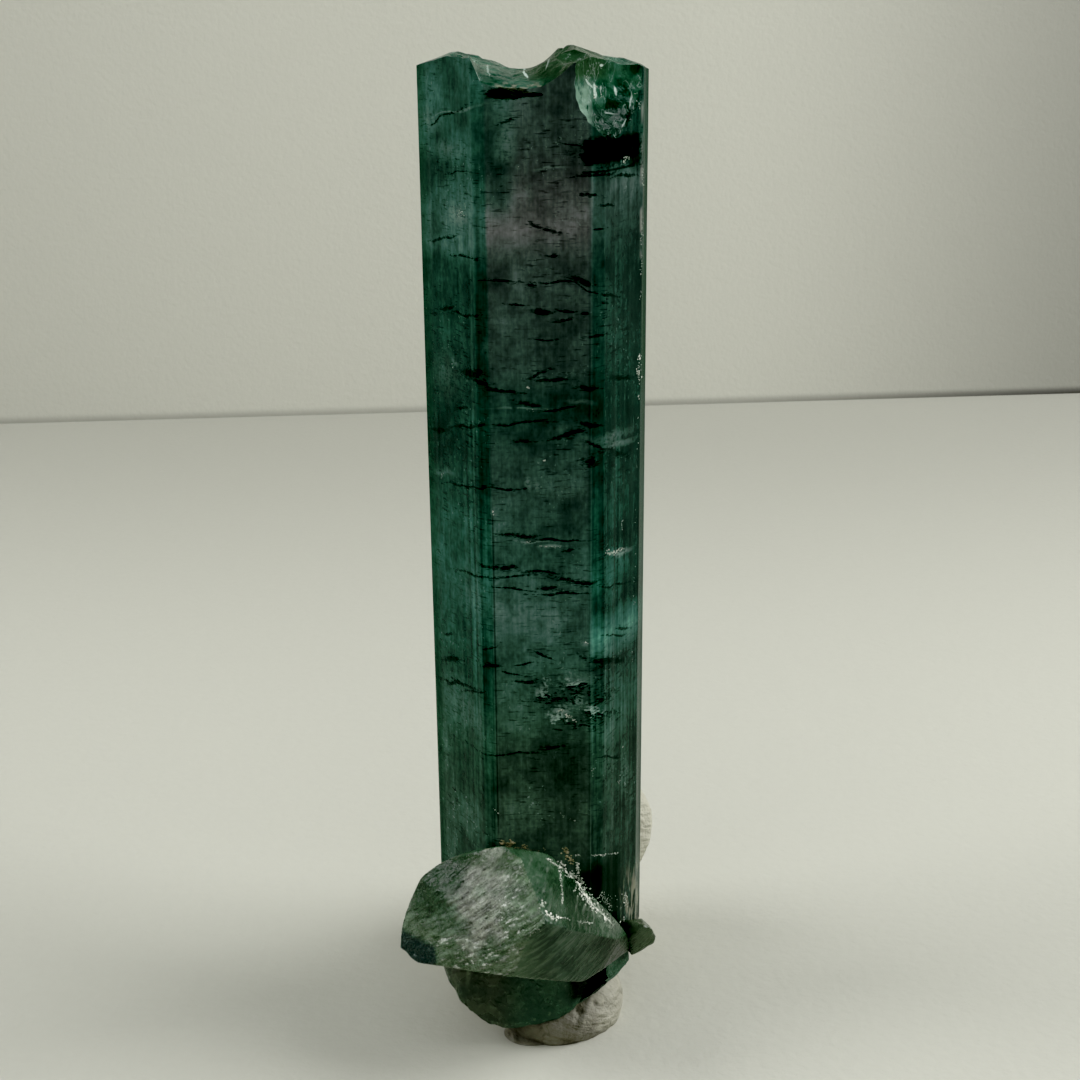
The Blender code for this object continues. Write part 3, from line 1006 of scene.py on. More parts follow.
@dataclass(frozen=True)
class PrismFinish:
    """Cloudy green with upright bands: blue-green sides and a greyer middle, partly painted light and
    shade of the faces.

    Over the bands lie pale healed cracks as painted reflections, dark open cracks, a black block
    under the chip, the painted shade of a deep crack, worn edges, painted shade above the side
    crystal and at the foot, and a painted reflection low on the right. The hidden faces aren't marked
    by them. Dark rims of painted shade along the outline and small painted sparkles lie on all faces.
    """

    prism: Prism
    outlook: Outlook
    marked: bool = True
    glass: Glass = Glass(0.45, gloss=(0.0, 0.0, 0.0, 1.0))
    cool: Colour = (0.40, 1.00, 0.79, 1.0)
    warm: Colour = (1.00, 1.00, 1.00, 1.0)
    low_tint: Colour = (1.05, 1.00, 0.93, 1.0)
    # Painted reflection: the pale colour of healed cracks that send light back.
    healed: Colour = (0.75, 1.00, 0.88, 1.0)
    # Painted shade along the left and right outline.
    left_outline_shade: Colour = (0.05, 0.15, 0.09, 1.0)
    right_outline_shade: Colour = (0.03, 0.08, 0.05, 1.0)
    chalk: Colour = (0.80, 0.80, 0.72, 1.0)
    # Painted shade above the side crystal, where it meets the prism.
    foot: Colour = (0.008, 0.035, 0.018, 1.0)
    # Painted reflection low on the right.
    pale_reflection: Colour = (0.56, 0.56, 0.43, 1.0)
    crack: Colour = (0.008, 0.036, 0.024, 1.0)
    # Black painted shade, for the crack under the chip and the foot.
    black: Colour = (0.003, 0.018, 0.012, 1.0)
    tall: float = 52.0
    veil_drift: tuple[float, float] = (-0.25, -0.30)
    veil_spread: float = 1.5
    veil_gain: float = 1.3
    crack_drift: tuple[float, float] = (-0.25, -0.33)
    crack_swell: float = 0.9
    crack_least: float = 0.022
    fringe: float = 2.5

    def tone(self, sheet: Sheet, height: Signal, stages: Sequence[BandTone]) -> Signal:
        """A band's colour at a height given as a share of the crystal's."""
        light, warmth = (
            sheet.node(
                "ShaderNodeValToRGB",
                {"stops": [(g.height / self.tall, getattr(g, part)) for g in stages]},
                (height,),
            )
            for part in ("light", "warmth")
        )
        return sheet.mix(1.0, sheet.mix(warmth, self.cool, self.warm), light, "MULTIPLY")

    def veil_light(self, sheet: Sheet, spot: Signal) -> Signal:
        """How strongly pale healed cracks show at a spot: the strongest of all."""
        total: Any = 0.0
        for veil in VEILS:
            middle, half, rise = self.outlook.lay(
                self.prism, veil.x, veil.z, veil.half_x, veil.rise()
            )
            size = (half * self.veil_spread, veil.half_z * self.veil_spread)
            mound = sheet.mound(spot, middle, size, rise)
            total = (mound * (veil.light * self.veil_gain)).math("MAXIMUM", total)
        return total

    def crack_reach(self, sheet: Sheet, spot: Signal) -> Signal:
        """The squared distance to the nearest dark crack, over the crack's half sizes.

        It stops growing at fringe half sizes away.
        """
        total: Any = 0.0
        for crack in DARK_FRACTURES:
            middle, half, rise = self.outlook.lay(
                self.prism, crack.x, crack.z, crack.half_x, crack.rise
            )
            half_z = crack.half_z * self.crack_swell + self.crack_least
            size = (half * self.fringe, half_z * self.fringe)
            total = sheet.mound(spot, middle, size, rise * self.fringe).math("MAXIMUM", total)
        return ((1.0 - total) * self.fringe) ** 2.0

    def bands(self, grain: Grain) -> Signal:
        """The upright bands, partly painted light and shade of the faces, with light and dark upright
        streaks, part striation and part painted reflection, clouds and lines across.
        """
        sheet, x, z = grain.sheet, grain.x, grain.z
        tones = {
            band: self.tone(sheet, z * (1.0 / self.tall), stages)
            for band, stages in BAND_TONES.items()
        }
        left_edge = (x + grain.mottle * 0.12).fade(-2.26, -2.06)
        right_edge = (x + grain.mottle * 0.10).fade(2.45, 2.80)
        upper_left = x.band(-2.4, -1.0, 0.5) * (z + grain.cloud * 1.5).fade(44.6, 46.4)
        colour = sheet.mix(left_edge, tones["left"], tones["middle"])
        colour = sheet.mix(upper_left * 0.65, colour, tones["left"])
        colour = sheet.mix(right_edge, colour, tones["right"])
        streak = sheet.noise((4.2, 4.2, 0.10), 2.0)
        hair = sheet.noise((13.0, 13.0, 0.45), 1.0)
        stroke = sheet.noise((0.45, 0.45, 6.0), 2.0)
        place = x * (1.0 / ACROSS_WIDE) + 0.5
        # Painted light and shade across the prism, lightest on the right bevel.
        across = sheet.node("ShaderNodeValToRGB", {"stops": ACROSS_PAINTED_LIGHT}, (place,))
        aside = x.band(-3.6, -2.2, 0.3) + right_edge
        # Light and dark upright streaks: part striation, part painted reflection.
        striation_and_reflection = (streak - 0.5) * (aside * z.band(12.0, 33.0, 4.0) * 1.2 + aside * 0.3 + 0.5)
        shade = (grain.cloud * 1.6 + 0.20) * (grain.mottle + 0.50) * (striation_and_reflection + 1.0)
        shade = shade * (hair * 0.18 + 0.91) * (stroke * 0.22 + 0.89) * (grain.fine * 0.9 + 0.55)
        dash = sheet.noise((1.5, 1.5, 9.0), 2.0).fade(0.58, 0.68) * grain.cloud.fade(0.42, 0.58)
        # Painted shade: a dark line down the front face's left edge.
        edge = x.band(-2.20, -2.13, 0.03) * z.band(13.0, 30.5, 0.8) * 0.5
        shade = shade * (1.0 - dash * 0.45) * (1.0 - edge * grain.front) * (across * 2.0)
        colour = sheet.mix(1.0, colour, shade.math("MINIMUM", 3.0), "MULTIPLY")
        return sheet.mix(1.0 - z.fade(16.0, 25.0), colour, self.low_tint, "MULTIPLY")

    def pale_marks(self, grain: Grain, colour: Signal) -> Signal:
        """Healed cracks shown as painted reflections, broken up by noise, upright scratches and small
        painted sparkles.
        """
        sheet = grain.sheet
        scratch = sheet.noise((20.0, 20.0, 0.8), 1.0).fade(0.66, 0.74)
        scratch = scratch * grain.mottle.fade(0.45, 0.6)
        # Painted sparkles: small bright flecks, most low down.
        sparkle_glint = sheet.noise((7.0, 7.0, 5.0), 2.0).fade(0.66, 0.72) * grain.cloud.fade(0.48, 0.6)
        pale = scratch * 0.10
        if self.marked:
            # Painted reflections of healed cracks.
            spot = sheet.warped(grain.bent_x, grain.bent_z, self.veil_drift)
            veil = self.veil_light(sheet, spot)
            veil = veil * ((grain.tear - 0.5) * 4.0 + (grain.fine - 0.5) * 3.0 + 0.9).clamp()
            pale = pale + veil * grain.front * (grain.crumpled * 0.8 + 1.0)
        pale = pale + sparkle_glint * ((1.0 - grain.z.fade(15.0, 18.0)) * 0.3 + 0.25)
        return sheet.mix(pale.clamp(), colour, self.healed)

    def rims(self, grain: Grain, colour: Signal) -> Signal:
        """Dark left and right rims, painted shade along the outline, and a chalky edge high on the
        right.
        """
        sheet, x, z = grain.sheet, grain.x, grain.z
        colour = sheet.mix((1.0 - x.fade(-5.40, -4.95)) * 0.4, colour, self.left_outline_shade)
        worn = x.band(5.06, 5.18, 0.04) * grain.warp.fade(0.40, 0.60) * z.fade(41.0, 43.0)
        colour = sheet.mix(worn * grain.front * 0.4, colour, self.chalk)
        return sheet.mix(x.fade(5.15, 5.25) * 0.7, colour, self.right_outline_shade)

    def foot_shade_and_reflection(self, grain: Grain, colour: Signal) -> Signal:
        """Painted shade in a dark patch above the side crystal, where it meets the prism, and frayed
        pale streaks right of it, a painted reflection.
        """
        sheet, x, z, front = grain.sheet, grain.x, grain.z, grain.front
        # Painted shade above the side crystal.
        foot = x.band(2.0, 4.3, 0.4) * (1.0 - z.fade(10.3, 11.6)) * front
        colour = sheet.mix(foot * 0.75, colour, self.foot)
        # Painted reflection: frayed pale streaks low on the right.
        frayed = sheet.noise((4.0, 4.0, 0.9), 2.0, (0.0, -8.0, 0.0)).fade(0.44, 0.60)
        low_right_reflection = x.fade(4.0, 4.9) * (1.0 - z.fade(7.4, 9.8)) * frayed * front
        return sheet.mix(low_right_reflection * 0.75, colour, self.pale_reflection)

    def dark_marks(self, grain: Grain, colour: Signal) -> Signal:
        """Dark open cracks, a black block and ledge under the chip, the painted shade of a deep
        crack, and a black foot of painted shade.
        """
        sheet, x, z, tear = grain.sheet, grain.x, grain.z, grain.tear
        spot = sheet.warped(grain.bent_x, grain.bent_z + grain.fine * 0.06, self.crack_drift)
        reach = self.crack_reach(sheet, spot)
        dark = 1.0 - (reach + tear * 4.0 + grain.fine * 3.0 - 3.5).fade(0.05, 1.75)
        fringe = (1.0 - reach.fade(1.0, 6.0)) * tear.fade(0.57, 0.63)
        dark = dark.math("MAXIMUM", fringe * 0.8)
        level = z + grain.mottle * 0.5 + tear * 0.2
        # Painted shade: the black of a deep crack under the chip, and a ledge below it.
        block = (x + grain.mottle * 0.2).band(2.38, 5.05, 0.10) * level.band(47.34, 48.42, 0.14)
        ledge = (x + tear * 0.10).band(2.26, 4.80, 0.05)
        ledge = ledge * (z + tear * 0.10).band(46.60, 46.70, 0.03)
        # Painted shade low on the prism, between the root and the side crystal.
        foot = 1.0 - z.fade(5.0, 6.3)
        black = block.math("MAXIMUM", ledge * 0.8).math("MAXIMUM", foot * 0.75)
        black = black * (grain.mottle * 0.8 + 0.55).clamp()
        colour = sheet.mix(dark * grain.front * 0.82, colour, self.crack)
        return sheet.mix(black * grain.front * 0.94, colour, self.black)

    def build(self) -> bpy.types.Material:
        """Lays the bands, then the pale marks, the rims, the painted shade and reflection by the
        foot, and the dark marks.
        """
        sheet = Sheet("tourmaline_prism" if self.marked else "tourmaline_back")
        grain = Grain.on(sheet)
        colour = self.rims(grain, self.pale_marks(grain, self.bands(grain)))
        if self.marked:
            colour = self.dark_marks(grain, self.foot_shade_and_reflection(grain, colour))
        return self.glass.dress(
            sheet,
            Base_Color=colour,
            Roughness=(grain.mottle * 0.35 - 0.05).clamp(),
            Specular_IOR_Level=0.0,
        )


@dataclass(frozen=True)
class BreakFinish:
    """Fresh glassy break, deep green with paler lumps, olive patches and glints."""

    glass: Glass = Glass(0.30, gloss=(0.16, 0.16, 0.16, 1.0))
    deep: Colour = (0.017, 0.095, 0.060, 1.0)
    clear: Colour = (0.10, 0.22, 0.155, 1.0)
    lump: Colour = (0.20, 0.27, 0.21, 1.0)
    olive: Colour = (0.06, 0.10, 0.05, 1.0)
    shadow: Colour = (0.015, 0.05, 0.032, 1.0)
    mist: Colour = (0.42, 0.60, 0.48, 1.0)
    rust: Colour = (0.44, 0.44, 0.34, 1.0)
    glint: Colour = (0.80, 0.95, 0.86, 1.0)
    drift: tuple[float, float] = (-0.10, 0.0)

    def glints(self, sheet: Sheet, spot: Signal, faint: Signal) -> Signal:
        """How strongly glassy edges show at a spot, over a faint share of them."""
        total = faint
        for line in BREAK_GLINTS:
            size = (line.half_x, line.half_z * 1.4)
            mound = sheet.mound(spot, (line.x, line.z), size, line.rise())
            total = (mound.fade(0.05, 0.45) * line.light).math("MAXIMUM", total)
        return total

    def build(self) -> bpy.types.Material:
        """Lays lumps, olive patches, a misty left edge and a rusty rim over deep green."""
        sheet = Sheet("tourmaline_break")
        x, y, z = sheet.axes()
        cloud = sheet.noise((1.1, 1.1, 1.1), 5.0)
        crumple = sheet.noise((2.6, 2.6, 2.6), 5.0)
        swirl = sheet.noise((1.8, 1.8, 0.9), 3.0)
        colour = sheet.mix(cloud.fade(0.42, 0.62), self.deep, self.clear)
        lumps = x.band(-2.9, -1.0, 0.3) * z.fade(50.3, 50.8) * crumple.fade(0.4, 0.6)
        colour = sheet.mix(lumps * 0.45, colour, self.lump)
        olive = x.band(-0.6, 3.4, 0.5) * z.fade(50.4, 50.9)
        colour = sheet.mix(olive * 0.7, colour, self.olive)
        below = x.fade(2.3, 2.8) * (1.0 - z.fade(48.9, 49.9))
        colour = sheet.mix(below * 0.75, colour, self.shadow)
        mist = x.band(1.45, 2.60, 0.25) * z.band(48.6, 50.5, 0.35) * crumple.fade(0.27, 0.52)
        colour = sheet.mix(mist * 0.70, colour, self.mist)
        rim = x.band(-1.9, 0.6, 0.3) * z.band(50.0, 50.55, 0.12) * crumple.fade(0.45, 0.6)
        colour = sheet.mix(rim * 0.6, colour, self.rust)
        arcs = swirl.band(0.51, 0.525, 0.008) * cloud.fade(0.42, 0.55) * x.fade(1.2, 1.8)
        spot = sheet.warped(x + crumple * 0.2, z, self.drift)
        glint = self.glints(sheet, spot, arcs * 0.35) * (1.0 - y.fade(-1.0, 0.5))
        return self.glass.dress(
            sheet,
            Base_Color=sheet.mix(glint, colour, self.glint),
            Roughness=cloud * 0.35 + 0.05,
            Specular_IOR_Level=0.12,
            Normal=sheet.bump(crumple, 0.08),
        )


@dataclass(frozen=True)
class RoughFinish:
    """The side crystal's torn left face: pinkish grey core, green rim, dark tip."""

    glass: Glass = Glass(0.25)
    green: tuple[Colour, Colour] = ((0.045, 0.085, 0.050, 1.0), (0.23, 0.34, 0.24, 1.0))
    pale: tuple[Colour, Colour] = ((0.09, 0.14, 0.085, 1.0), (0.27, 0.38, 0.25, 1.0))
    pink: tuple[Colour, Colour] = ((0.22, 0.23, 0.20, 1.0), (0.71, 0.74, 0.65, 1.0))
    upper: Colour = (0.06, 0.09, 0.05, 1.0)
    # Painted shade in holes and pits.
    hole_shade: Colour = (0.02, 0.04, 0.02, 1.0)
    corner: Colour = (0.02, 0.06, 0.025, 1.0)
    tip: Colour = (0.022, 0.060, 0.052, 1.0)
    glint: Colour = (0.95, 1.00, 0.92, 1.0)
    tear_turn: Point = (0.0, 38.0, 0.0)
    stroke_turn: Point = (0.0, 32.0, 0.0)

    @staticmethod
    def oval(x: Signal, z: Signal, share_x: float, share_z: float, lean: float = 0.0) -> Signal:
        """The squared distance from an oval's middle, over its half sizes.

        Args:
            x: how far right of its middle.
            z: how far above its middle.
            share_x: one over its half width.
            share_z: one over its half height.
            lean: how much it rises to the right.

        Returns:
            (x * share_x)^2 + (z * share_z - x * lean)^2.
        """
        return (x * share_x) ** 2.0 + (z * share_z - x * lean) ** 2.0

    def build(self) -> bpy.types.Material:
        """Lays the tones by torn fibres, then holes and pits of painted shade, dark ends and white
        strokes.
        """
        sheet = Sheet("tourmaline_rough_face")
        x, _, z = sheet.axes()
        fibre = sheet.noise((1.1, 2.0, 5.5), 4.0, self.tear_turn)
        tear = sheet.noise((0.7, 1.2, 2.8), 4.0, self.tear_turn)
        pit = sheet.noise((2.2, 2.2, 3.4), 3.0, self.tear_turn)
        stroke = sheet.noise((1.8, 2.0, 7.0), 3.0, self.stroke_turn)
        speck = sheet.noise((6.0, 6.0, 6.0), 4.0)
        blot = sheet.noise((0.9, 0.9, 0.9), 5.0)
        tone = (fibre * 0.80 + speck * 0.20).fade(0.3, 0.7)
        green, pale, pink = (sheet.mix(tone, *pair) for pair in (self.green, self.pale, self.pink))
        toward = ((x + 1.9) * 0.75 + (z - 8.3) * 0.35 + blot * 1.6 - 0.8).fade(-0.9, 0.5)
        toward = toward.math("MAXIMUM", (1.0 - z.fade(7.6, 9.2)) * 0.7)
        colour = sheet.mix(toward, green, pale)
        out = self.oval(x + 3.05, z - 10.3, 0.66, 0.52, 0.25)
        core = 1.0 - (out + blot * 4.0 - 2.0).fade(0.0, 1.5)
        colour = sheet.mix(core * (tear * 0.8 + 0.35), colour, pink)
        above = z.fade(10.6, 11.8) * blot.fade(0.35, 0.6)
        colour = sheet.mix(above * 0.5, colour, self.upper)
        # Painted shade in holes and pits.
        hole_shade = tear.fade(0.54, 0.66) * blot.fade(0.42, 0.55) * 0.5
        hole_shade = hole_shade.math("MAXIMUM", pit.fade(0.64, 0.69) * core * 0.9)
        colour = sheet.mix(hole_shade, colour, self.hole_shade)
        corner = ((x + 5.2) - (z - 9.5) * 0.75 + blot * 0.8).fade(0.0, 0.9)
        corner = (1.0 - corner) * z.fade(8.6, 9.4)
        colour = sheet.mix(corner * 0.7, colour, self.corner)
        tip = (1.0 - (x + blot - 0.5).fade(-5.7, -5.3)) * (1.0 - z.fade(7.3, 7.8))
        colour = sheet.mix(tip, colour, self.tip)
        foot = self.oval(x + 3.3, z - 7.6, 0.48, 0.85)
        ridge = self.oval(x + 1.5, z - 10.0, 1.60, 0.60)
        lit = 1.0 - foot.math("MINIMUM", ridge).fade(0.4, 1.8)
        glint = stroke.fade(0.57, 0.64) * (speck * 4.0 - 1.2).clamp() * (lit * 0.95 + 0.05)
        return self.glass.dress(
            sheet,
            Base_Color=sheet.mix(glint, colour, self.glint),
            Roughness=(speck * 0.7 - 0.1).clamp(),
            Normal=sheet.bump(fibre * 1.5 + tear * 1.5 + speck * 0.4, 0.13),
        )


@dataclass(frozen=True)
class UpperFinish:
    """The side crystal's smooth upper end face: medium green, then nearly black."""

    glass: Glass = Glass(0.40, gloss=(0.5, 0.5, 0.5, 1.0))
    deep: Colour = (0.06, 0.11, 0.07, 1.0)
    light: Colour = (0.17, 0.27, 0.18, 1.0)
    dark: Colour = (0.03, 0.07, 0.04, 1.0)
    veil: Colour = (0.50, 0.60, 0.46, 1.0)
    scuffed: Colour = (0.50, 0.62, 0.48, 1.0)

    def build(self) -> bpy.types.Material:
        """Lays a dark right part, a veil and light scuffs over mottled green."""
        sheet = Sheet("tourmaline_upper_face")
        x, _, _ = sheet.axes()
        cloud = sheet.noise((0.7, 0.7, 0.7), 5.0)
        scuff = sheet.noise((1.2, 1.2, 6.0), 4.0, (0.0, 25.0, 0.0))
        mottle = sheet.noise((3.0, 3.0, 3.0), 5.0)
        colour = sheet.mix((cloud + mottle * 0.5).fade(0.45, 1.0), self.deep, self.light)
        dark = x.fade(1.05, 1.35) * (1.0 - x.fade(2.1, 3.4) * 0.5)
        colour = sheet.mix(dark * 0.85, colour, self.dark)
        veil = x.band(1.9, 3.9, 0.4) * scuff.fade(0.48, 0.66)
        colour = sheet.mix(veil * 0.20, colour, self.veil)
        return self.glass.dress(
            sheet,
            Base_Color=sheet.mix(scuff.fade(0.6, 0.72) * 0.3, colour, self.scuffed),
            Roughness=(scuff * 0.5).clamp(),
            Normal=sheet.bump(scuff + cloud + mottle, 0.05),
        )


@dataclass(frozen=True)
class LowerFinish:
    """The side crystal's lower end face and the stub: finely lined, dark to the right."""

    glass: Glass = Glass(0.35, gloss=(0.5, 0.5, 0.5, 1.0))
    deep: Colour = (0.045, 0.080, 0.055, 1.0)
    light: Colour = (0.14, 0.20, 0.15, 1.0)
    left: Colour = (0.19, 0.27, 0.19, 1.0)
    line: Colour = (0.32, 0.40, 0.31, 1.0)
    right: Colour = (0.03, 0.05, 0.03, 1.0)
    stub: Colour = (0.19, 0.24, 0.17, 1.0)
    lip: Colour = (0.40, 0.50, 0.38, 1.0)

    def build(self) -> bpy.types.Material:
        """Lays a paler left part, fine lines, a dark right part and a pale lip."""
        sheet = Sheet("tourmaline_lower_face")
        x, _, z = sheet.axes()
        lines = sheet.noise((0.9, 1.0, 6.0), 5.0, (0.0, 36.0, 0.0))
        cloud = sheet.noise((0.6, 0.6, 0.6), 4.0)
        grain = sheet.noise((4.0, 4.0, 4.0), 4.0)
        colour = sheet.mix((cloud + grain * 0.4).fade(0.45, 0.95), self.deep, self.light)
        colour = sheet.mix(1.0 - x.fade(-1.6, 0.8), colour, self.left)
        colour = sheet.mix(lines.fade(0.45, 0.70) * 0.35, colour, self.line)
        colour = sheet.mix(x.fade(0.2, 4.2) * 0.8, colour, self.right)
        colour = sheet.mix(x.fade(4.5, 5.1) * 0.7, colour, self.stub)
        lip = (z + x * 0.42).band(5.8, 6.25, 0.15) * lines.fade(0.4, 0.6)
        return self.glass.dress(
            sheet,
            Base_Color=sheet.mix(lip * 0.35, colour, self.lip),
            Roughness=(lines * 0.5).clamp(),
            Normal=sheet.bump(lines + grain * 0.6, 0.04),
        )


@dataclass(frozen=True)
class RootFinish:
    """The broken root: very dark bottle green, brownish to the left."""

    glass: Glass = Glass(0.30)
    green: tuple[Colour, Colour] = ((0.075, 0.150, 0.108, 1.0), (0.135, 0.235, 0.17, 1.0))
    brown: tuple[Colour, Colour] = ((0.095, 0.135, 0.10, 1.0), (0.18, 0.215, 0.16, 1.0))
    ridge: Colour = (0.42, 0.50, 0.38, 1.0)
    speck: Colour = (0.40, 0.48, 0.38, 1.0)
    # Painted shade: a black hollow on the right.
    hollow: Colour = (0.004, 0.008, 0.006, 1.0)

    def build(self) -> bpy.types.Material:
        """Lays a brownish left part, a pale ridge, specks and a black hollow of painted shade."""
        sheet = Sheet("tourmaline_root")
        x, _, z = sheet.axes()
        cloud = sheet.noise((1.0, 1.0, 1.0), 5.0)
        fine = sheet.noise((4.0, 4.0, 4.0), 4.0)
        green = sheet.mix(cloud.fade(0.20, 0.80), *self.green)
        brown = sheet.mix(cloud.fade(0.30, 0.75), *self.brown)
        colour = sheet.mix(1.0 - x.fade(-2.6, -0.6), green, brown)
        ridge = (x - z * 0.10).band(-4.45, -4.25, 0.08) * z.fade(3.5, 4.5)
        colour = sheet.mix(ridge * 0.5, colour, self.ridge)
        colour = sheet.mix(fine.fade(0.60, 0.70) * 0.3, colour, self.speck)
        # Painted shade: a black hollow on the right.
        hollow = x.band(1.5, 3.4, 0.3) * z.band(2.9, 4.7, 0.3)
        return self.glass.dress(
            sheet,
            Base_Color=sheet.mix(hollow * 0.9, colour, self.hollow),
            Roughness=(cloud * 0.5).clamp(),
            Specular_IOR_Level=0.25,
            Normal=sheet.bump(fine + cloud, 0.10),
        )


@dataclass
class Tourmaline:
    """The whole green crystal: prism, breaks, side crystal, stub and root in one skin.

    The gaps say how far a face may lie from the form that it takes its finish from.
    """

    prism: Prism = field(default_factory=Prism)
    outlook: Outlook = field(default_factory=Outlook)
    scoops: tuple[Scoop, ...] = (
        Scoop((4.25, -3.80, 50.80), (3.25, 1.50, 2.85), 47.0, 0.06),
        Scoop((-1.15, -5.05, 50.12), (1.12, 0.60, 0.34), 0.0, 0.22),
        Scoop((-0.20, -5.00, 50.06), (0.75, 0.40, 0.13), 0.0, 0.15),
        Scoop((-4.55, 4.05, 50.35), (2.30, 1.15, 1.80), 41.0, 0.05),
    )

    wall_gap: float = 0.06
    break_gap: float = 0.04
    scoop_gap: float = 0.08
    foot_gap: float = 0.05
    root_gap: float = 0.16
    stub_gap: float = 0.10
    side_gap: float = 0.25
    root_top: float = 7.0
    break_foot: float = 46.0
    hidden_from: float = 0.5

    @staticmethod
    def side_roughness(spots: Array, normals: Array) -> Array:
        """Fibres on the left face, fine lines on the lower right, slight waves above."""
        left = ease((-normals[..., 0] - 0.05) * 6.0) * ease((-normals[..., 1] - 0.1) * 6.0)
        x, y, z = spots[..., 0], spots[..., 1], spots[..., 2]
        along = 0.75 * x + 0.65 * z
        across = -0.65 * x + 0.75 * z
        warp = 0.5 * value_noise(spots * 0.7, 41)
        fibres = fractal(column(along * 0.8, across * 3.4 + warp, y * 0.8), 3, 40)
        pits = fractal(spots * 1.3, 4, 44)
        lines = value_noise(column(along * 0.4, across * 7.0, y), 46)
        torn = 0.05 * fibres + 0.06 * pits
        return left * torn + (1.0 - left) * 0.016 * lines

    @staticmethod
    def root_roughness(spots: Array, normals: Array) -> Array:
        """Broken ridges all over: 0.12 mm of folded noise."""
        return 0.12 * (0.4 - np.abs(fractal(spots * 0.9, 4, 50)))

    @staticmethod
    def stub_roughness(spots: Array, normals: Array) -> Array:
        """Slight lumps on the stub."""
        return 0.04 * fractal(spots * 2.2, 3, 60)

    def mesh(self) -> bpy.types.Mesh:
        """Builds every part, cuts the breaks and chips, and unites it all."""
        skin = closed_mesh("crystal", self.prism.rings())
        top = self.prism.break_block("top_break", self.prism.break_surface, 56.0)
        foot = self.prism.break_block("foot_break", self.prism.foot_surface, -2.0)
        skin = join(join(skin, top, Join.CUT), foot, Join.CUT)
        for scoop in self.scoops:
            skin = join(skin, closed_mesh("scoop", scoop.rings()), Join.CUT)
        for hull, rows, around, rough in (
            (ROOT, 80, 135, self.root_roughness),
            (SIDE_CRYSTAL, 175, 258, self.side_roughness),
            (STUB, 40, 60, self.stub_roughness),
        ):
            grown = closed_mesh("grown", hull.rings(rows, around, rough))
            skin = join(skin, grown, Join.UNION)
        return skin

    def facets(self, mesh: bpy.types.Mesh) -> Array:
        """Which finish each face has, from where it lies."""
        centre, normal = centres_of(mesh)
        finish = np.full(len(centre), Facet.PRISM.value)
        x, y, z = centre[:, 0], centre[:, 1], centre[:, 2]
        corners, normals = self.prism.faces()
        level = np.sum(corners * normals[:, :2], axis=1)
        outside = (centre[:, :2] @ normals[:, :2].T - level).max(axis=1)
        wall = (np.abs(outside) < self.wall_gap) & (np.abs(normal[:, 2]) < 0.3)
        upper = np.abs(z - self.prism.break_surface(x, y)) < self.break_gap
        finish[wall & (y > self.hidden_from)] = Facet.BACK.value
        finish[(z > self.break_foot) & upper & ~wall] = Facet.BREAK.value
        for scoop in self.scoops:
            finish[scoop.touches(centre, self.scoop_gap) & ~wall] = Facet.BREAK.value
        lower = np.abs(z - self.prism.foot_surface(x, y)) < self.foot_gap
        finish[lower & ~wall] = Facet.ROOT.value
        on_root = ROOT.touches(centre, self.root_gap) & (z < self.root_top)
        finish[on_root & ~wall] = Facet.ROOT.value
        finish[STUB.touches(centre, self.stub_gap) & ~wall] = Facet.LOWER.value
        on_side = SIDE_CRYSTAL.touches(centre, self.side_gap) & ~wall
        facing = SIDE_CRYSTAL.facing(SIDE_CRYSTAL.look_at(centre)[0])
        left = (facing[:, 0] < 0.0) & (facing[:, 1] < -0.1)
        right = np.where(facing[:, 2] > 0.15, Facet.UPPER.value, Facet.LOWER.value)
        finish[on_side] = np.where(left, Facet.ROUGH.value, right)[on_side]
        return finish.astype(np.int32)

    def build(self) -> bpy.types.Object:
        """Builds the crystal and dresses each kind of face."""
        mesh = self.mesh()
        finishes = {
            Facet.PRISM: PrismFinish(self.prism, self.outlook),
            Facet.BREAK: BreakFinish(),
            Facet.ROUGH: RoughFinish(),
            Facet.UPPER: UpperFinish(),
            Facet.LOWER: LowerFinish(),
            Facet.ROOT: RootFinish(),
            Facet.BACK: PrismFinish(self.prism, self.outlook, marked=False),
        }
        mesh.materials.clear()
        for facet in Facet:
            mesh.materials.append(finishes[facet].build())
        mesh.polygons.foreach_set("material_index", self.facets(mesh))
        mesh.shade_smooth()
        mesh.set_sharp_from_angle(angle=math.radians(32.0))
        mesh.update()
        return piece("green_crystal", mesh, "tourmaline", "tourmaline_crystal")


# --------------------------------------------------------------- the fractures


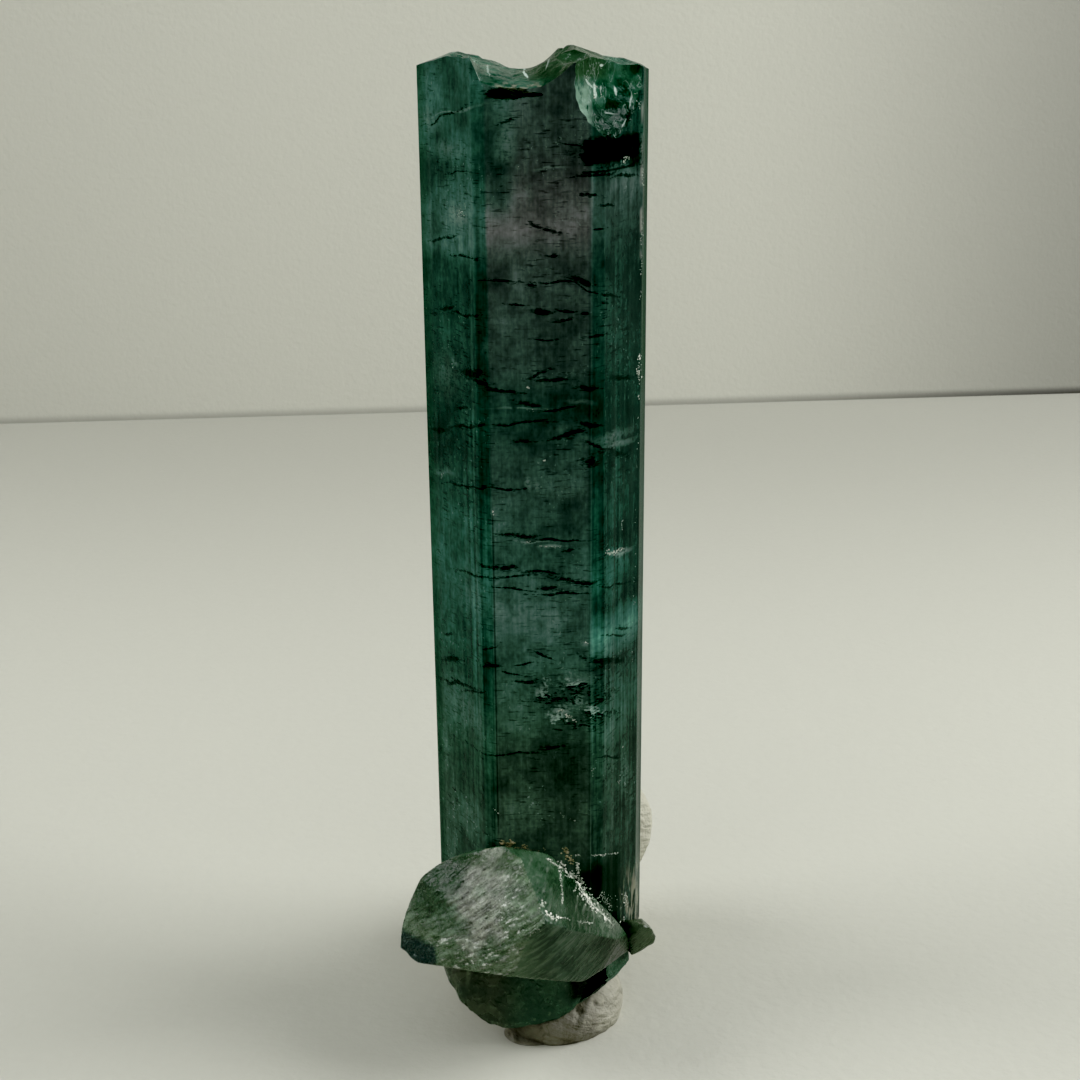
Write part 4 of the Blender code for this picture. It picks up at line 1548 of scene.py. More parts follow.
@dataclass(frozen=True)
class Fracture:
    """A thin ragged sheet inside the crystal, nearly level.

    x and z say where it shows on the front plane. half_x, half_y and half_z are half
    its sizes, rise is how much its right end lies above its middle, and depth is how
    far it lies behind the face.
    """

    x: float
    z: float
    half_x: float
    half_y: float = 0.5
    half_z: float = 0.03
    rise: float = 0.0
    depth: float = 0.36
    cover: float = 0.03

    def skin(self, prism: Prism, spot: Array, inner: Array, out: Array, seed: int) -> Skin:
        """Rings out over the top and back under: ragged radius, waved height.

        What would stand out of the prism is pressed back under its faces.

        Args:
            prism: the crystal that the sheet lies in.
            spot: where the sheet shows on the face.
            inner: the way from there into the crystal.
            out: the face's outward normal.
            seed: picks its own noise.

        Returns:
            The closed sheet.
        """
        around = 40 if self.half_x > 0.3 else 16
        share = np.concatenate([np.linspace(0.05, 1.0, 7), np.linspace(0.97, 0.05, 6)])
        side = np.where(np.arange(13) < 7, 1.0, -1.0)
        turn, share = np.meshgrid(np.linspace(0, 2 * np.pi, around, endpoint=False), share)
        side = side[:, None]
        ring = column(np.cos(turn) * 2.2, np.sin(turn) * 2.2, 0.0 * turn)
        ragged = 1.0 + 0.45 * fractal(ring, 4, seed)
        x = self.half_x * share * ragged * np.cos(turn)
        y = self.half_y * share * ragged * np.sin(turn)
        wave = fractal(column(x * 1.6, y * 1.6, 0.0 * x), 3, seed + 9)
        bulge = np.sqrt(np.maximum(1.0 - share**2, 0.0)) + 0.05
        lumps = 0.9 + 0.8 * fractal(column(x * 4.0, y * 4.0, side + 0.0 * x), 2, seed + 5)
        z = self.rise * x / self.half_x + 0.09 * wave
        z = z + side * self.half_z * bulge * lumps
        slant = out[0] / out[1]
        points = spot + inner * self.depth + column(x, y - slant * x, z)
        return Skin.over(prism.press(points, self.cover))


DARK_FRACTURES: tuple[Fracture, ...] = (
    # near the top, under the chip
    Fracture(3.15, 47.45, 0.85, 0.30, 0.42, -0.02, 0.10),
    Fracture(4.05, 47.40, 0.75, 0.30, 0.40, 0.02, 0.10),
    Fracture(2.40, 47.80, 0.25, 0.20, 0.30, 0.0, 0.10),
    Fracture(4.50, 47.75, 0.35, 0.22, 0.30, 0.1, 0.10),
    Fracture(2.40, 47.25, 0.28, 0.20, 0.24, 0.0, 0.10),
    Fracture(3.40, 47.80, 0.60, 0.20, 0.16, 0.0, 0.10),
    Fracture(4.55, 47.10, 0.30, 0.20, 0.20, 0.0, 0.10),
    Fracture(1.70, 47.85, 0.45, 0.17, 0.03, -0.06),
    Fracture(2.90, 46.60, 0.90, 0.28, 0.05, 0.12, 0.20),
    Fracture(4.20, 46.50, 0.55, 0.17, 0.05, 0.02, 0.20),
    Fracture(-1.20, 48.90, 0.35, 0.22, 0.04, 0.08),
    Fracture(-4.10, 49.10, 0.90, 0.22, 0.02, 0.42, 0.16),
    Fracture(-3.50, 46.65, 0.50, 0.33, 0.01, 0.0, 0.28),
    # the upper third
    Fracture(2.45, 45.50, 0.45, 0.22, 0.04, -0.08, 0.24),
    Fracture(3.20, 45.10, 0.36, 0.17, 0.03, 0.0, 0.16),
    Fracture(2.95, 44.00, 0.26, 0.17, 0.03, 0.0, 0.16),
    Fracture(0.10, 44.20, 0.36, 0.39, 0.09, -0.12),
    Fracture(0.75, 43.95, 0.50, 0.33, 0.06, -0.14),
    Fracture(0.80, 42.90, 0.30, 0.28, 0.05),
    Fracture(-4.20, 43.70, 0.60, 0.28, 0.04, 0.0, 0.20),
    Fracture(-3.25, 42.85, 0.50, 0.22, 0.04, -0.1, 0.20),
    Fracture(-1.55, 41.60, 0.90, 0.33, 0.03, -0.04),
    Fracture(-0.15, 41.45, 0.25, 0.17, 0.05),
    Fracture(1.10, 41.55, 0.95, 0.33, 0.04, 0.02),
    Fracture(2.10, 41.65, 0.45, 0.28, 0.09, -0.1),
    Fracture(2.35, 41.35, 0.55, 0.22, 0.03, -0.22),
    Fracture(3.50, 41.00, 0.50, 0.22, 0.04, -0.12, 0.20),
    Fracture(3.30, 40.60, 0.20, 0.17, 0.03, 0.0, 0.20),
    Fracture(-0.85, 40.60, 0.50, 0.28, 0.03, -0.08),
    Fracture(0.30, 40.20, 0.48, 0.33, 0.09, -0.06),
    Fracture(1.50, 40.25, 0.50, 0.22, 0.05, -0.05),
    Fracture(1.40, 39.85, 0.42, 0.22, 0.04, 0.02),
    Fracture(2.25, 40.05, 0.25, 0.22, 0.05),
    Fracture(0.40, 38.90, 0.55, 0.22, 0.02, 0.02),
    Fracture(2.90, 39.05, 0.50, 0.22, 0.03, 0.14, 0.20),
    Fracture(-4.05, 40.4, 0.30, 0.28, 0.07, 0.0, 0.20),
    Fracture(-3.30, 40.1, 0.70, 0.28, 0.03, -0.1, 0.20),
    # the dark bundle above the middle
    Fracture(-3.00, 37.30, 0.55, 0.44, 0.16, -0.05, 0.24),
    Fracture(-2.60, 36.90, 0.45, 0.33, 0.07, -0.2, 0.24),
    Fracture(0.05, 37.20, 0.50, 0.22, 0.04, 0.16),
    Fracture(0.70, 36.95, 0.80, 0.33, 0.08, -0.05),
    Fracture(-1.60, 36.45, 0.75, 0.33, 0.07, -0.10),
    Fracture(2.45, 36.55, 0.45, 0.28, 0.09, -0.02, 0.28),
    Fracture(4.05, 37.00, 0.55, 0.33, 0.10, 0.10, 0.20),
    Fracture(-0.30, 35.80, 0.55, 0.28, 0.07, -0.05),
    Fracture(-3.55, 35.6, 0.30, 0.22, 0.05, 0.0, 0.24),
    Fracture(1.10, 35.50, 0.70, 0.33, 0.04, 0.1),
    Fracture(-0.80, 34.85, 1.25, 0.39, 0.04, 0.10),
    Fracture(-3.30, 34.70, 0.80, 0.33, 0.05, 0.0, 0.24),
    Fracture(-4.60, 34.55, 0.40, 0.33, 0.10, 0.0, 0.20),
    Fracture(1.60, 34.30, 0.80, 0.44, 0.07, 0.14),
    Fracture(2.60, 34.70, 0.50, 0.39, 0.10, 0.0, 0.24),
    Fracture(-0.60, 33.95, 0.40, 0.33, 0.05),
    Fracture(3.10, 33.75, 0.80, 0.39, 0.04, -0.32, 0.20),
    Fracture(4.10, 33.20, 0.50, 0.33, 0.08, -0.20, 0.20),
    Fracture(2.60, 32.90, 0.30, 0.22, 0.20, 0.0, 0.48),
    # the middle
    Fracture(-3.40, 31.75, 0.95, 0.39, 0.05, -0.12, 0.24),
    Fracture(-1.60, 31.60, 0.85, 0.28, 0.03, -0.06),
    Fracture(-0.95, 29.20, 1.00, 0.44, 0.07, -0.08),
    Fracture(0.95, 28.90, 1.30, 0.39, 0.05, 0.02),
    Fracture(1.50, 28.35, 0.35, 0.22, 0.04, 0.04),
    Fracture(-2.35, 27.60, 0.40, 0.28, 0.06),
    Fracture(-1.50, 27.55, 0.40, 0.28, 0.08),
    Fracture(-3.10, 27.20, 0.75, 0.44, 0.05, -0.20, 0.24),
    Fracture(-1.30, 27.05, 1.00, 0.39, 0.06, 0.05),
    Fracture(0.20, 27.20, 0.85, 0.33, 0.05, -0.04),
    Fracture(1.85, 26.80, 1.15, 0.39, 0.11, -0.12),
    Fracture(3.90, 26.60, 0.85, 0.28, 0.03, 0.12, 0.20),
    Fracture(-1.20, 26.35, 0.95, 0.39, 0.03, -0.08),
    Fracture(0.50, 26.40, 0.40, 0.28, 0.06),
    Fracture(1.20, 26.15, 1.30, 0.44, 0.03, 0.05),
    # the lower third
    Fracture(4.20, 24.25, 0.34, 0.28, 0.06, -0.03, 0.20),
    Fracture(3.80, 23.90, 0.60, 0.17, 0.02, 0.0, 0.20),
    Fracture(-4.45, 24.00, 0.20, 0.22, 0.07, 0.0, 0.20),
    Fracture(-4.30, 22.65, 0.55, 0.44, 0.14, 0.0, 0.20),
    Fracture(-2.45, 23.25, 0.40, 0.22, 0.03, 0.12, 0.28),
    Fracture(-0.70, 22.45, 0.45, 0.22, 0.03, 0.02),
    Fracture(0.20, 22.75, 0.55, 0.28, 0.04, -0.20),
    Fracture(3.35, 22.60, 1.00, 0.50, 0.13, -0.08, 0.24),
    Fracture(-2.35, 22.25, 0.45, 0.33, 0.09, -0.05, 0.28),
    Fracture(-1.30, 21.85, 0.60, 0.28, 0.03, -0.08),
    Fracture(-0.60, 21.40, 0.60, 0.33, 0.05, 0.0),
    Fracture(-4.00, 21.30, 0.90, 0.50, 0.07, -0.30, 0.20),
    Fracture(-3.20, 20.90, 0.55, 0.33, 0.04, 0.0, 0.24),
    Fracture(0.75, 20.30, 1.05, 0.66, 0.10, -0.05),
    Fracture(1.90, 20.95, 0.95, 0.55, 0.10, 0.12),
    Fracture(3.20, 20.55, 0.45, 0.50, 0.16, 0.12, 0.24),
    Fracture(3.00, 19.60, 0.90, 0.39, 0.08, 0.05, 0.24),
    Fracture(1.95, 18.95, 0.95, 0.50, 0.10, -0.16),
    Fracture(-1.50, 17.60, 1.60, 0.50, 0.03, -0.05),
    Fracture(0.70, 17.75, 0.60, 0.44, 0.05),
    Fracture(3.70, 17.20, 0.55, 0.28, 0.03, 0.05, 0.20),
)


@dataclass(frozen=True)
class FractureFinish:
    """Nearly black green."""

    black: Colour = (0.001, 0.006, 0.004, 1.0)
    green: Colour = (0.01, 0.05, 0.03, 1.0)

    def build(self) -> bpy.types.Material:
        """Clouds the two colours, on a slightly rough face."""
        sheet = Sheet("fracture_dark")
        cloud = sheet.noise((3.0, 3.0, 3.0), 3.0)
        return sheet.surface(
            Base_Color=sheet.mix(cloud, self.black, self.green),
            Roughness=0.4 + cloud * 0.3,
            Normal=sheet.bump(cloud, 0.03),
            Specular_IOR_Level=0.1,
        )


@dataclass
class Fractures:
    """All the dark sheets inside the prism."""

    prism: Prism = field(default_factory=Prism)
    outlook: Outlook = field(default_factory=Outlook)

    def stray(self, count: int, seed: int) -> tuple[Fracture, ...]:
        """Many small sheets, spread over the prism by seeded numbers."""
        index = np.arange(count)
        cells = column(index, 0 * index, 0 * index)
        draw = [lattice(cells, seed + n) for n in range(6)]
        return tuple(
            Fracture(
                x=4.4 * a,
                z=32.0 + 17.0 * b,
                half_x=0.16 + 0.12 * c,
                half_y=0.25 + 0.1 * c,
                half_z=0.022 + 0.012 * d,
                rise=0.05 * e,
                depth=0.5 + 0.4 * f,
            )
            for a, b, c, d, e, f in zip(*(part.tolist() for part in draw))
        )

    def skins(self, fractures: Sequence[Fracture], seed: int) -> Skin:
        """The sheets, each put where it shows through its face."""
        made = []
        for index, fracture in enumerate(fractures):
            met = self.outlook.meet(self.prism, fracture.x, fracture.z)
            made.append(fracture.skin(self.prism, *met, seed + 31 * index))
        return Skin.merge(made)

    def build(self) -> None:
        """Builds all the sheets as one piece."""
        dark = self.skins(DARK_FRACTURES + self.stray(46, 300), 400).mesh("dark_fractures")
        dark.materials.append(FractureFinish().build())
        dark.shade_smooth()
        piece("dark_fractures", dark, "tourmaline")


# ------------------------------------------------------------------- the crust


@dataclass(frozen=True)
class Seam:
    """Crumbs along a line on the crystal, given where it shows on the front plane."""

    line: tuple[tuple[float, float], ...]
    count: int
    spread: float = 0.08
    size: float = 0.06


PALE_SEAMS: tuple[Seam, ...] = (
    Seam(((-0.35, 10.10), (0.0, 9.35), (-0.1, 8.8)), 60, 0.06, 0.05),
    Seam(((0.05, 8.75), (0.30, 8.20), (0.55, 7.75), (0.95, 7.85)), 110, 0.12, 0.07),
    Seam(((0.95, 7.85), (1.50, 7.75)), 20, 0.06, 0.045),
    Seam(((1.95, 7.60), (2.55, 7.50), (3.05, 7.45), (3.75, 7.25)), 90, 0.05, 0.045),
    Seam(((0.30, 11.45), (0.75, 11.00), (1.10, 10.85), (1.50, 10.40)), 110, 0.08, 0.055),
    Seam(((1.50, 10.40), (2.05, 9.80), (2.25, 9.20), (2.80, 8.50), (3.30, 7.95), (3.75, 7.45)),
         360, 0.13, 0.06),
    Seam(((1.50, 10.40), (1.90, 10.00), (2.15, 9.50), (2.45, 8.95), (2.80, 8.50)), 260, 0.17, 0.07),
    Seam(((1.05, 11.10), (1.35, 10.75), (1.60, 10.40)), 90, 0.10, 0.06),
    Seam(((1.00, 10.80), (1.08, 9.90), (1.15, 9.00), (1.12, 8.60)), 90, 0.04, 0.04),
    Seam(((1.90, 11.10), (2.00, 10.30), (2.10, 9.80)), 60, 0.08, 0.05),
    Seam(((2.30, 11.20), (2.25, 10.50), (2.15, 9.90)), 50, 0.05, 0.045),
    Seam(((0.65, 11.75), (1.70, 11.55), (2.35, 11.50), (3.40, 11.55), (4.10, 11.70)),
         110, 0.05, 0.032),
    Seam(((2.05, 11.50), (3.30, 11.52), (4.10, 11.68)), 70, 0.04, 0.032),
    Seam(((2.60, 11.55), (4.05, 11.62)), 50, 0.04, 0.030),
    Seam(((2.60, 9.60), (3.10, 9.20), (3.50, 8.80), (3.90, 8.20)), 130, 0.22, 0.035),
    Seam(((4.45, 9.30), (4.50, 8.60), (4.40, 7.60)), 90, 0.10, 0.05),
    Seam(((1.55, 10.30), (1.95, 10.20), (2.20, 9.90)), 60, 0.10, 0.05),
    Seam(((2.55, 9.10), (2.80, 9.50), (2.90, 9.75)), 26, 0.04, 0.03),
    Seam(((2.90, 8.85), (3.15, 9.15), (3.25, 9.40)), 22, 0.04, 0.03),
    Seam(((3.15, 8.55), (3.45, 8.85), (3.65, 9.10)), 22, 0.05, 0.03),
    Seam(((3.60, 8.00), (3.75, 8.60), (3.80, 9.05)), 26, 0.05, 0.03),
    Seam(((3.75, 7.25), (4.15, 7.60), (4.35, 8.10)), 60, 0.12, 0.045),
    Seam(((-0.05, 7.15), (-0.55, 6.80), (-1.40, 6.20), (-2.25, 5.00)), 60, 0.08, 0.03),
)

# White crumbs that stand for glints: painted highlights.
GLINTS: tuple[Seam, ...] = (
    # in the chip at the top
    Seam(((2.86, 50.75), (2.74, 49.85)), 40, 0.03, 0.035),
    Seam(((3.12, 50.30), (3.02, 49.85)), 20, 0.03, 0.03),
    Seam(((3.85, 50.30), (3.75, 49.95)), 14, 0.03, 0.03),
    Seam(((3.20, 51.10), (3.45, 50.90)), 10, 0.04, 0.03),
    Seam(((4.60, 50.20), (4.80, 49.40)), 26, 0.08, 0.03),
    Seam(((4.05, 47.05), (4.35, 47.35)), 16, 0.05, 0.05),
    Seam(((2.10, 50.90), (2.50, 50.70)), 10, 0.05, 0.03),
    # on the worn right edge
    Seam(((4.97, 47.0), (4.93, 40.5)), 150, 0.03, 0.03),
    Seam(((4.90, 38.3), (4.86, 35.0)), 130, 0.07, 0.05),
    Seam(((4.86, 35.0), (4.70, 22.0)), 40, 0.03, 0.025),
    # on open cracks
    Seam(((-0.62, 36.72), (-0.30, 36.82)), 34, 0.07, 0.05),
    Seam(((-0.45, 36.60), (-0.35, 36.55)), 8, 0.04, 0.04),
    Seam(((-4.40, 35.05), (-4.20, 34.90)), 8, 0.06, 0.035),
    Seam(((0.36, 33.00), (0.40, 32.96)), 5, 0.02, 0.045),
    Seam(((-4.60, 32.30), (-4.35, 32.50)), 10, 0.08, 0.03),
    Seam(((-2.14, 30.55), (-2.10, 30.10)), 12, 0.03, 0.035),
    Seam(((3.35, 28.20), (3.75, 28.25), (4.20, 28.45)), 60, 0.08, 0.045),
    Seam(((4.15, 29.90), (4.12, 29.40)), 10, 0.02, 0.03),
    Seam(((-0.55, 28.85), (0.20, 28.62), (1.20, 28.55)), 44, 0.04, 0.025),
    Seam(((-1.10, 35.40), (0.60, 35.45)), 20, 0.05, 0.02),
    Seam(((2.30, 23.55), (2.50, 23.45)), 8, 0.05, 0.03),
    Seam(((0.20, 21.20), (0.40, 21.35)), 8, 0.05, 0.035),
    Seam(((0.95, 19.80), (1.60, 19.40), (2.05, 19.20)), 40, 0.10, 0.04),
    Seam(((-3.90, 37.60), (-3.75, 37.95)), 10, 0.08, 0.03),
    Seam(((-3.60, 44.40), (-3.35, 44.95)), 26, 0.14, 0.025),
    Seam(((-0.72, 46.85), (-0.70, 47.05)), 5, 0.04, 0.04),
    # scratches near the foot
    Seam(((4.30, 17.85), (4.10, 17.30)), 12, 0.02, 0.03),
    Seam(((4.20, 16.80), (4.05, 15.40)), 14, 0.05, 0.03),
    Seam(((2.75, 16.60), (2.70, 15.70)), 10, 0.03, 0.025),
    Seam(((-2.40, 14.30), (-2.00, 13.90)), 10, 0.05, 0.025),
    Seam(((1.10, 13.90), (2.00, 13.40)), 14, 0.10, 0.022),
)

YELLOW_SEAMS: tuple[Seam, ...] = (
    Seam(((-2.10, 12.30), (-1.60, 12.25), (-1.25, 12.35)), 60, 0.12, 0.07),
    Seam(((-0.85, 12.05), (-0.45, 12.05)), 22, 0.08, 0.075),
    Seam(((1.25, 11.90), (1.45, 11.50), (1.60, 11.20)), 110, 0.16, 0.065),
    Seam(((-2.9, 11.9), (-2.10, 12.1), (0.30, 11.80)), 70, 0.08, 0.035),
)


class CrustFinish(Enum):
    """The chalky, slightly glittering finishes: a name, a low and a high colour."""

    # The pale finish also dresses the glint crumbs, painted highlights.
    PALE = ("crust_pale", (0.36, 0.42, 0.34, 1.0), (0.92, 0.92, 0.84, 1.0))
    YELLOW = ("crust_yellow", (0.22, 0.22, 0.14, 1.0), (0.62, 0.54, 0.36, 1.0))

    def build(self) -> bpy.types.Material:
        """Clouds the two colours, on a slightly rough face."""
        name, low, high = self.value
        sheet = Sheet(name)
        cloud = sheet.noise((2.5, 2.5, 2.5), 3.0)
        return sheet.surface(
            Base_Color=sheet.mix(cloud.fade(0.3, 0.7), low, high),
            Roughness=0.35 + cloud * 0.3,
            Normal=sheet.bump(cloud, 0.02),
        )


@dataclass
class Crust:
    """Small pale crumbs where the crystals meet, and white crumbs on worn edges, cracks and the chip
    that stand for glints, painted highlights.
    """

    crystal: bpy.types.Object
    outlook: Outlook = field(default_factory=Outlook)

    def __post_init__(self) -> None:
        """Makes the crystal ready for sight lines."""
        bm = bmesh.new()
        bm.from_mesh(self.crystal.data)
        self.tree = BVHTree.FromBMesh(bm)
        bm.free()

    @staticmethod
    def crumb(seed: int) -> tuple[Array, Array]:
        """A lumpy 20-sided crumb of unit size: its points and faces."""
        golden = (1.0 + math.sqrt(5.0)) / 2.0
        points = np.array(
            [(-1, golden, 0), (1, golden, 0), (-1, -golden, 0), (1, -golden, 0),
             (0, -1, golden), (0, 1, golden), (0, -1, -golden), (0, 1, -golden),
             (golden, 0, -1), (golden, 0, 1), (-golden, 0, -1), (-golden, 0, 1)]
        ) / math.hypot(1.0, golden)
        faces = np.array(
            [(0, 11, 5), (0, 5, 1), (0, 1, 7), (0, 7, 10), (0, 10, 11), (1, 5, 9), (5, 11, 4),
             (11, 10, 2), (10, 7, 6), (7, 1, 8), (3, 9, 4), (3, 4, 2), (3, 2, 6), (3, 6, 8),
             (3, 8, 9), (4, 9, 5), (2, 4, 11), (6, 2, 10), (8, 6, 7), (9, 8, 1)]
        )
        lumps = 1.0 + 0.35 * value_noise(points * 1.7 + 0.5, seed)
        return points * lumps[:, None], faces

    def skin(self, seams: Sequence[Seam], seed: int) -> Skin:
        """Crumbs along every seam, laid flat on what the sight lines meet."""
        points, fans, start = [], [], 0
        for number, seam in enumerate(seams):
            line = np.array(seam.line)
            run = np.concatenate([[0.0], np.cumsum(np.linalg.norm(np.diff(line, axis=0), axis=1))])
            index = np.arange(seam.count)
            cells = column(index, 0 * index + number, 0 * index)
            draw = [lattice(cells, seed + n) for n in range(6)]
            along = (draw[0] * 0.5 + 0.5) * run[-1]
            gap = value_noise(column(along * 2.3, 0.0 * along, 0.0 * along + number), seed)
            away = 2.2 * seam.spread * np.abs(draw[2]) ** 2
            x = np.interp(along, run, line[:, 0]) + away * draw[1]
            z = np.interp(along, run, line[:, 1]) + away * draw[3]
            for n in index[gap > -0.2]:
                origin, ray = self.outlook.ray(float(x[n]), float(z[n]))
                spot, normal, _, _ = self.tree.ray_cast(
                    Vector((origin + AXIS) * MM), Vector(ray), 0.2
                )
                if spot is None:
                    continue
                shape, faces = self.crumb(seed + int(n) % 23)
                spin = Vector((draw[4][n], draw[5][n], 0.4)).normalized()
                turned = np.array(normal.to_track_quat("Z", "Y").to_matrix())
                spun = np.array(spin.to_track_quat("X", "Z").to_matrix())
                size = seam.size * (0.25 + 0.5 * abs(draw[2][n]) + 0.5 * (draw[4][n] > 0.85))
                laid = (shape @ spun.T) * np.array([size * 1.3, size, size * 0.55])
                points.append(laid @ turned.T + np.array(spot) / MM - AXIS)
                fans.append(faces + start)
                start += len(shape)
        return Skin(np.concatenate(points), np.zeros((0, 4), int), np.concatenate(fans))

    def build(self) -> None:
        """Builds the pale crumbs with the painted glints, and the yellowish crumbs, as a piece each.
        """
        pale = self.skin(PALE_SEAMS + GLINTS, 500).mesh("pale_crust_and_glints")
        pale.materials.append(CrustFinish.PALE.build())
        piece("pale_crust_and_glints", pale, "tourmaline")
        yellow = self.skin(YELLOW_SEAMS, 700).mesh("yellow_crust")
        yellow.materials.append(CrustFinish.YELLOW.build())
        piece("yellow_crust", yellow, "tourmaline")


# ------------------------------------------------------------------- the putty


@dataclass(frozen=True)
class Fold:
    """A crease in the putty along a line of points, as deep and as wide as given."""

    line: tuple[Point, ...]
    deep: float = 0.15
    wide: float = 0.12

    def at(self, spots: Array) -> Array:
        """-deep * exp(-(d / wide)^2), with d the distance to the line."""
        nearest = np.full(spots.shape[:-1], np.inf)
        for start, end in zip(self.line, self.line[1:]):
            a, run = np.array(start), np.array(end) - np.array(start)
            t = np.clip(((spots - a) @ run) / (run @ run), 0.0, 1.0)
            nearest = np.minimum(nearest, np.linalg.norm(spots - a - t[..., None] * run, axis=-1))
        return -self.deep * np.exp(-((nearest / self.wide) ** 2))


@dataclass(frozen=True)
class PuttyFinish:
    """Matt beige-grey and grubby, with painted light at the back and right and painted shade in its
    creases and under the root.
    """

    grubby: Colour = (0.25, 0.24, 0.20, 1.0)
    plain: Colour = (0.42, 0.41, 0.345, 1.0)
    dragged: Colour = (0.20, 0.19, 0.14, 1.0)
    gritty: Colour = (0.50, 0.49, 0.43, 1.0)
    # Painted light at the back and right.
    painted_light: Colour = (0.62, 0.61, 0.51, 1.0)
    # Painted shade in the creases and under the root.
    crease: Colour = (0.07, 0.07, 0.05, 1.0)

    def build(self) -> bpy.types.Material:
        """Lays drag marks, grit, painted light at the back and right, and painted shade in the
        creases and under the root over the putty.
        """
        sheet = Sheet("putty_matt")
        x, y, z = sheet.axes()
        cloud = sheet.noise((0.8, 0.8, 0.8), 4.0)
        drag = sheet.noise((0.7, 0.7, 3.5), 4.0, (0.0, -25.0, 0.0))
        grit = sheet.noise((6.0, 6.0, 6.0), 4.0)
        fold = sheet.noise((0.45, 0.45, 0.8), 2.0, (0.0, -40.0, 0.0))
        colour = sheet.mix(cloud.fade(0.3, 0.7), self.grubby, self.plain)
        colour = sheet.mix(drag.fade(0.5, 0.7) * 0.45, colour, self.dragged)
        colour = sheet.mix(grit.fade(0.62, 0.75) * 0.4, colour, self.gritty)
        # Painted light: lighter towards the back and the right.
        painted_light = y.fade(1.0, 4.0) + (x + drag).fade(2.8, 4.6) * 0.55
        colour = sheet.mix(painted_light.clamp() * 0.8, colour, self.painted_light)
        # Painted shade under the root, in the tuck and along the folds.
        under = 1.0 - (x + z * 0.6).fade(2.6, 4.2)
        tuck = (x - z * 0.25 + fold * 0.8).band(2.0, 2.35, 0.14) * z.band(1.0, 3.0, 0.4)
        crease = fold.band(0.50, 0.51, 0.015) * 0.6 + under * 0.3 + tuck * 0.9
        near = 1.0 - y.fade(-2.0, 2.0)
        return sheet.surface(
            Base_Color=sheet.mix(crease.clamp() * near * 0.7, colour, self.crease),
            Roughness=0.5 + grit * 0.3,
            Normal=sheet.bump(grit + drag * 2.0 + fold * 4.0, 0.10),
        )


@dataclass
class Putty:
    """The lump of putty: a pressed ball under the root and a tongue up the back."""

    balls: tuple[tuple[Point, Point], ...] = (
        ((0.90, -1.10, 0.80), (3.70, 4.10, 2.60)),
        ((-0.60, 2.60, 1.20), (4.00, 4.60, 2.80)),
        ((1.20, 5.90, 3.20), (4.50, 3.10, 5.20)),
        ((1.75, 6.60, 7.20), (4.90, 2.55, 4.70)),
        ((-0.50, -3.70, 0.02), (1.60, 1.30, 0.22)),
    )
    folds: tuple[Fold, ...] = (
        Fold(((1.75, -4.3, 2.9), (1.95, -4.6, 2.0), (2.05, -4.6, 1.4), (2.4, -4.4, 1.0)), 0.30, 0.14),
        Fold(((2.6, -4.0, 2.9), (2.9, -4.0, 2.2), (2.8, -4.1, 1.6), (2.3, -4.3, 1.3)), 0.16, 0.12),
        Fold(((3.3, -3.6, 3.0), (3.6, -3.5, 2.2), (3.4, -3.7, 1.4), (2.7, -4.1, 0.9)), 0.12, 0.12),
        Fold(((-1.4, -4.2, 1.2), (0.2, -4.9, 0.8), (1.6, -5.0, 0.6), (3.2, -4.2, 0.7)), 0.10, 0.15),
        Fold(((-1.2, -4.4, 0.8), (0.4, -5.1, 0.35), (2.0, -5.0, 0.3)), 0.08, 0.10),
        Fold(((3.9, 4.0, 6.0), (5.2, 5.5, 7.5), (5.6, 6.5, 9.5)), 0.25, 0.3),
        Fold(((-2.0, 8.6, 2.0), (0.5, 9.2, 4.0), (3.0, 9.2, 8.0)), 0.25, 0.3),
        Fold(((-3.5, 6.0, 1.0), (-1.0, 8.4, 1.6), (3.0, 8.6, 1.4)), 0.2, 0.25),
    )

    def ball(self, centre: Point, half_sizes: Point) -> Array:
        """centre + half_sizes * u * (1 + lumps + folds), never below the ground."""
        turn, lift = np.meshgrid(
            np.linspace(0.0, 2 * np.pi, 210, endpoint=False),
            np.linspace(0.02, np.pi - 0.02, 120),
        )
        u = column(np.sin(lift) * np.cos(turn), np.sin(lift) * np.sin(turn), np.cos(lift))
        sizes = np.array(half_sizes)
        spots = np.array(centre) + u * sizes
        lumps = 0.10 * fractal(spots * 0.42, 3, 70) - 0.06 * np.abs(fractal(spots * 0.9, 3, 75))
        grain = 0.015 * fractal(spots * 4.0, 2, 79)
        creases = sum(fold.at(spots) for fold in self.folds)
        spots = spots + u * (lumps + grain + creases)[..., None] * min(1.0, float(sizes.min()))
        spots[..., 2] = np.maximum(spots[..., 2], 0.0)
        return spots

    def build(self) -> bpy.types.Object:
        """Unites the balls and dresses the lump."""
        lump = closed_mesh("putty", self.ball(*self.balls[0]))
        for ball in self.balls[1:]:
            lump = join(lump, closed_mesh("ball", self.ball(*ball)), Join.UNION)
        lump.materials.clear()
        lump.materials.append(PuttyFinish().build())
        lump.shade_smooth()
        return piece("putty_lump", lump, "putty", "putty")


# --------------------------------------------------------------- the studio


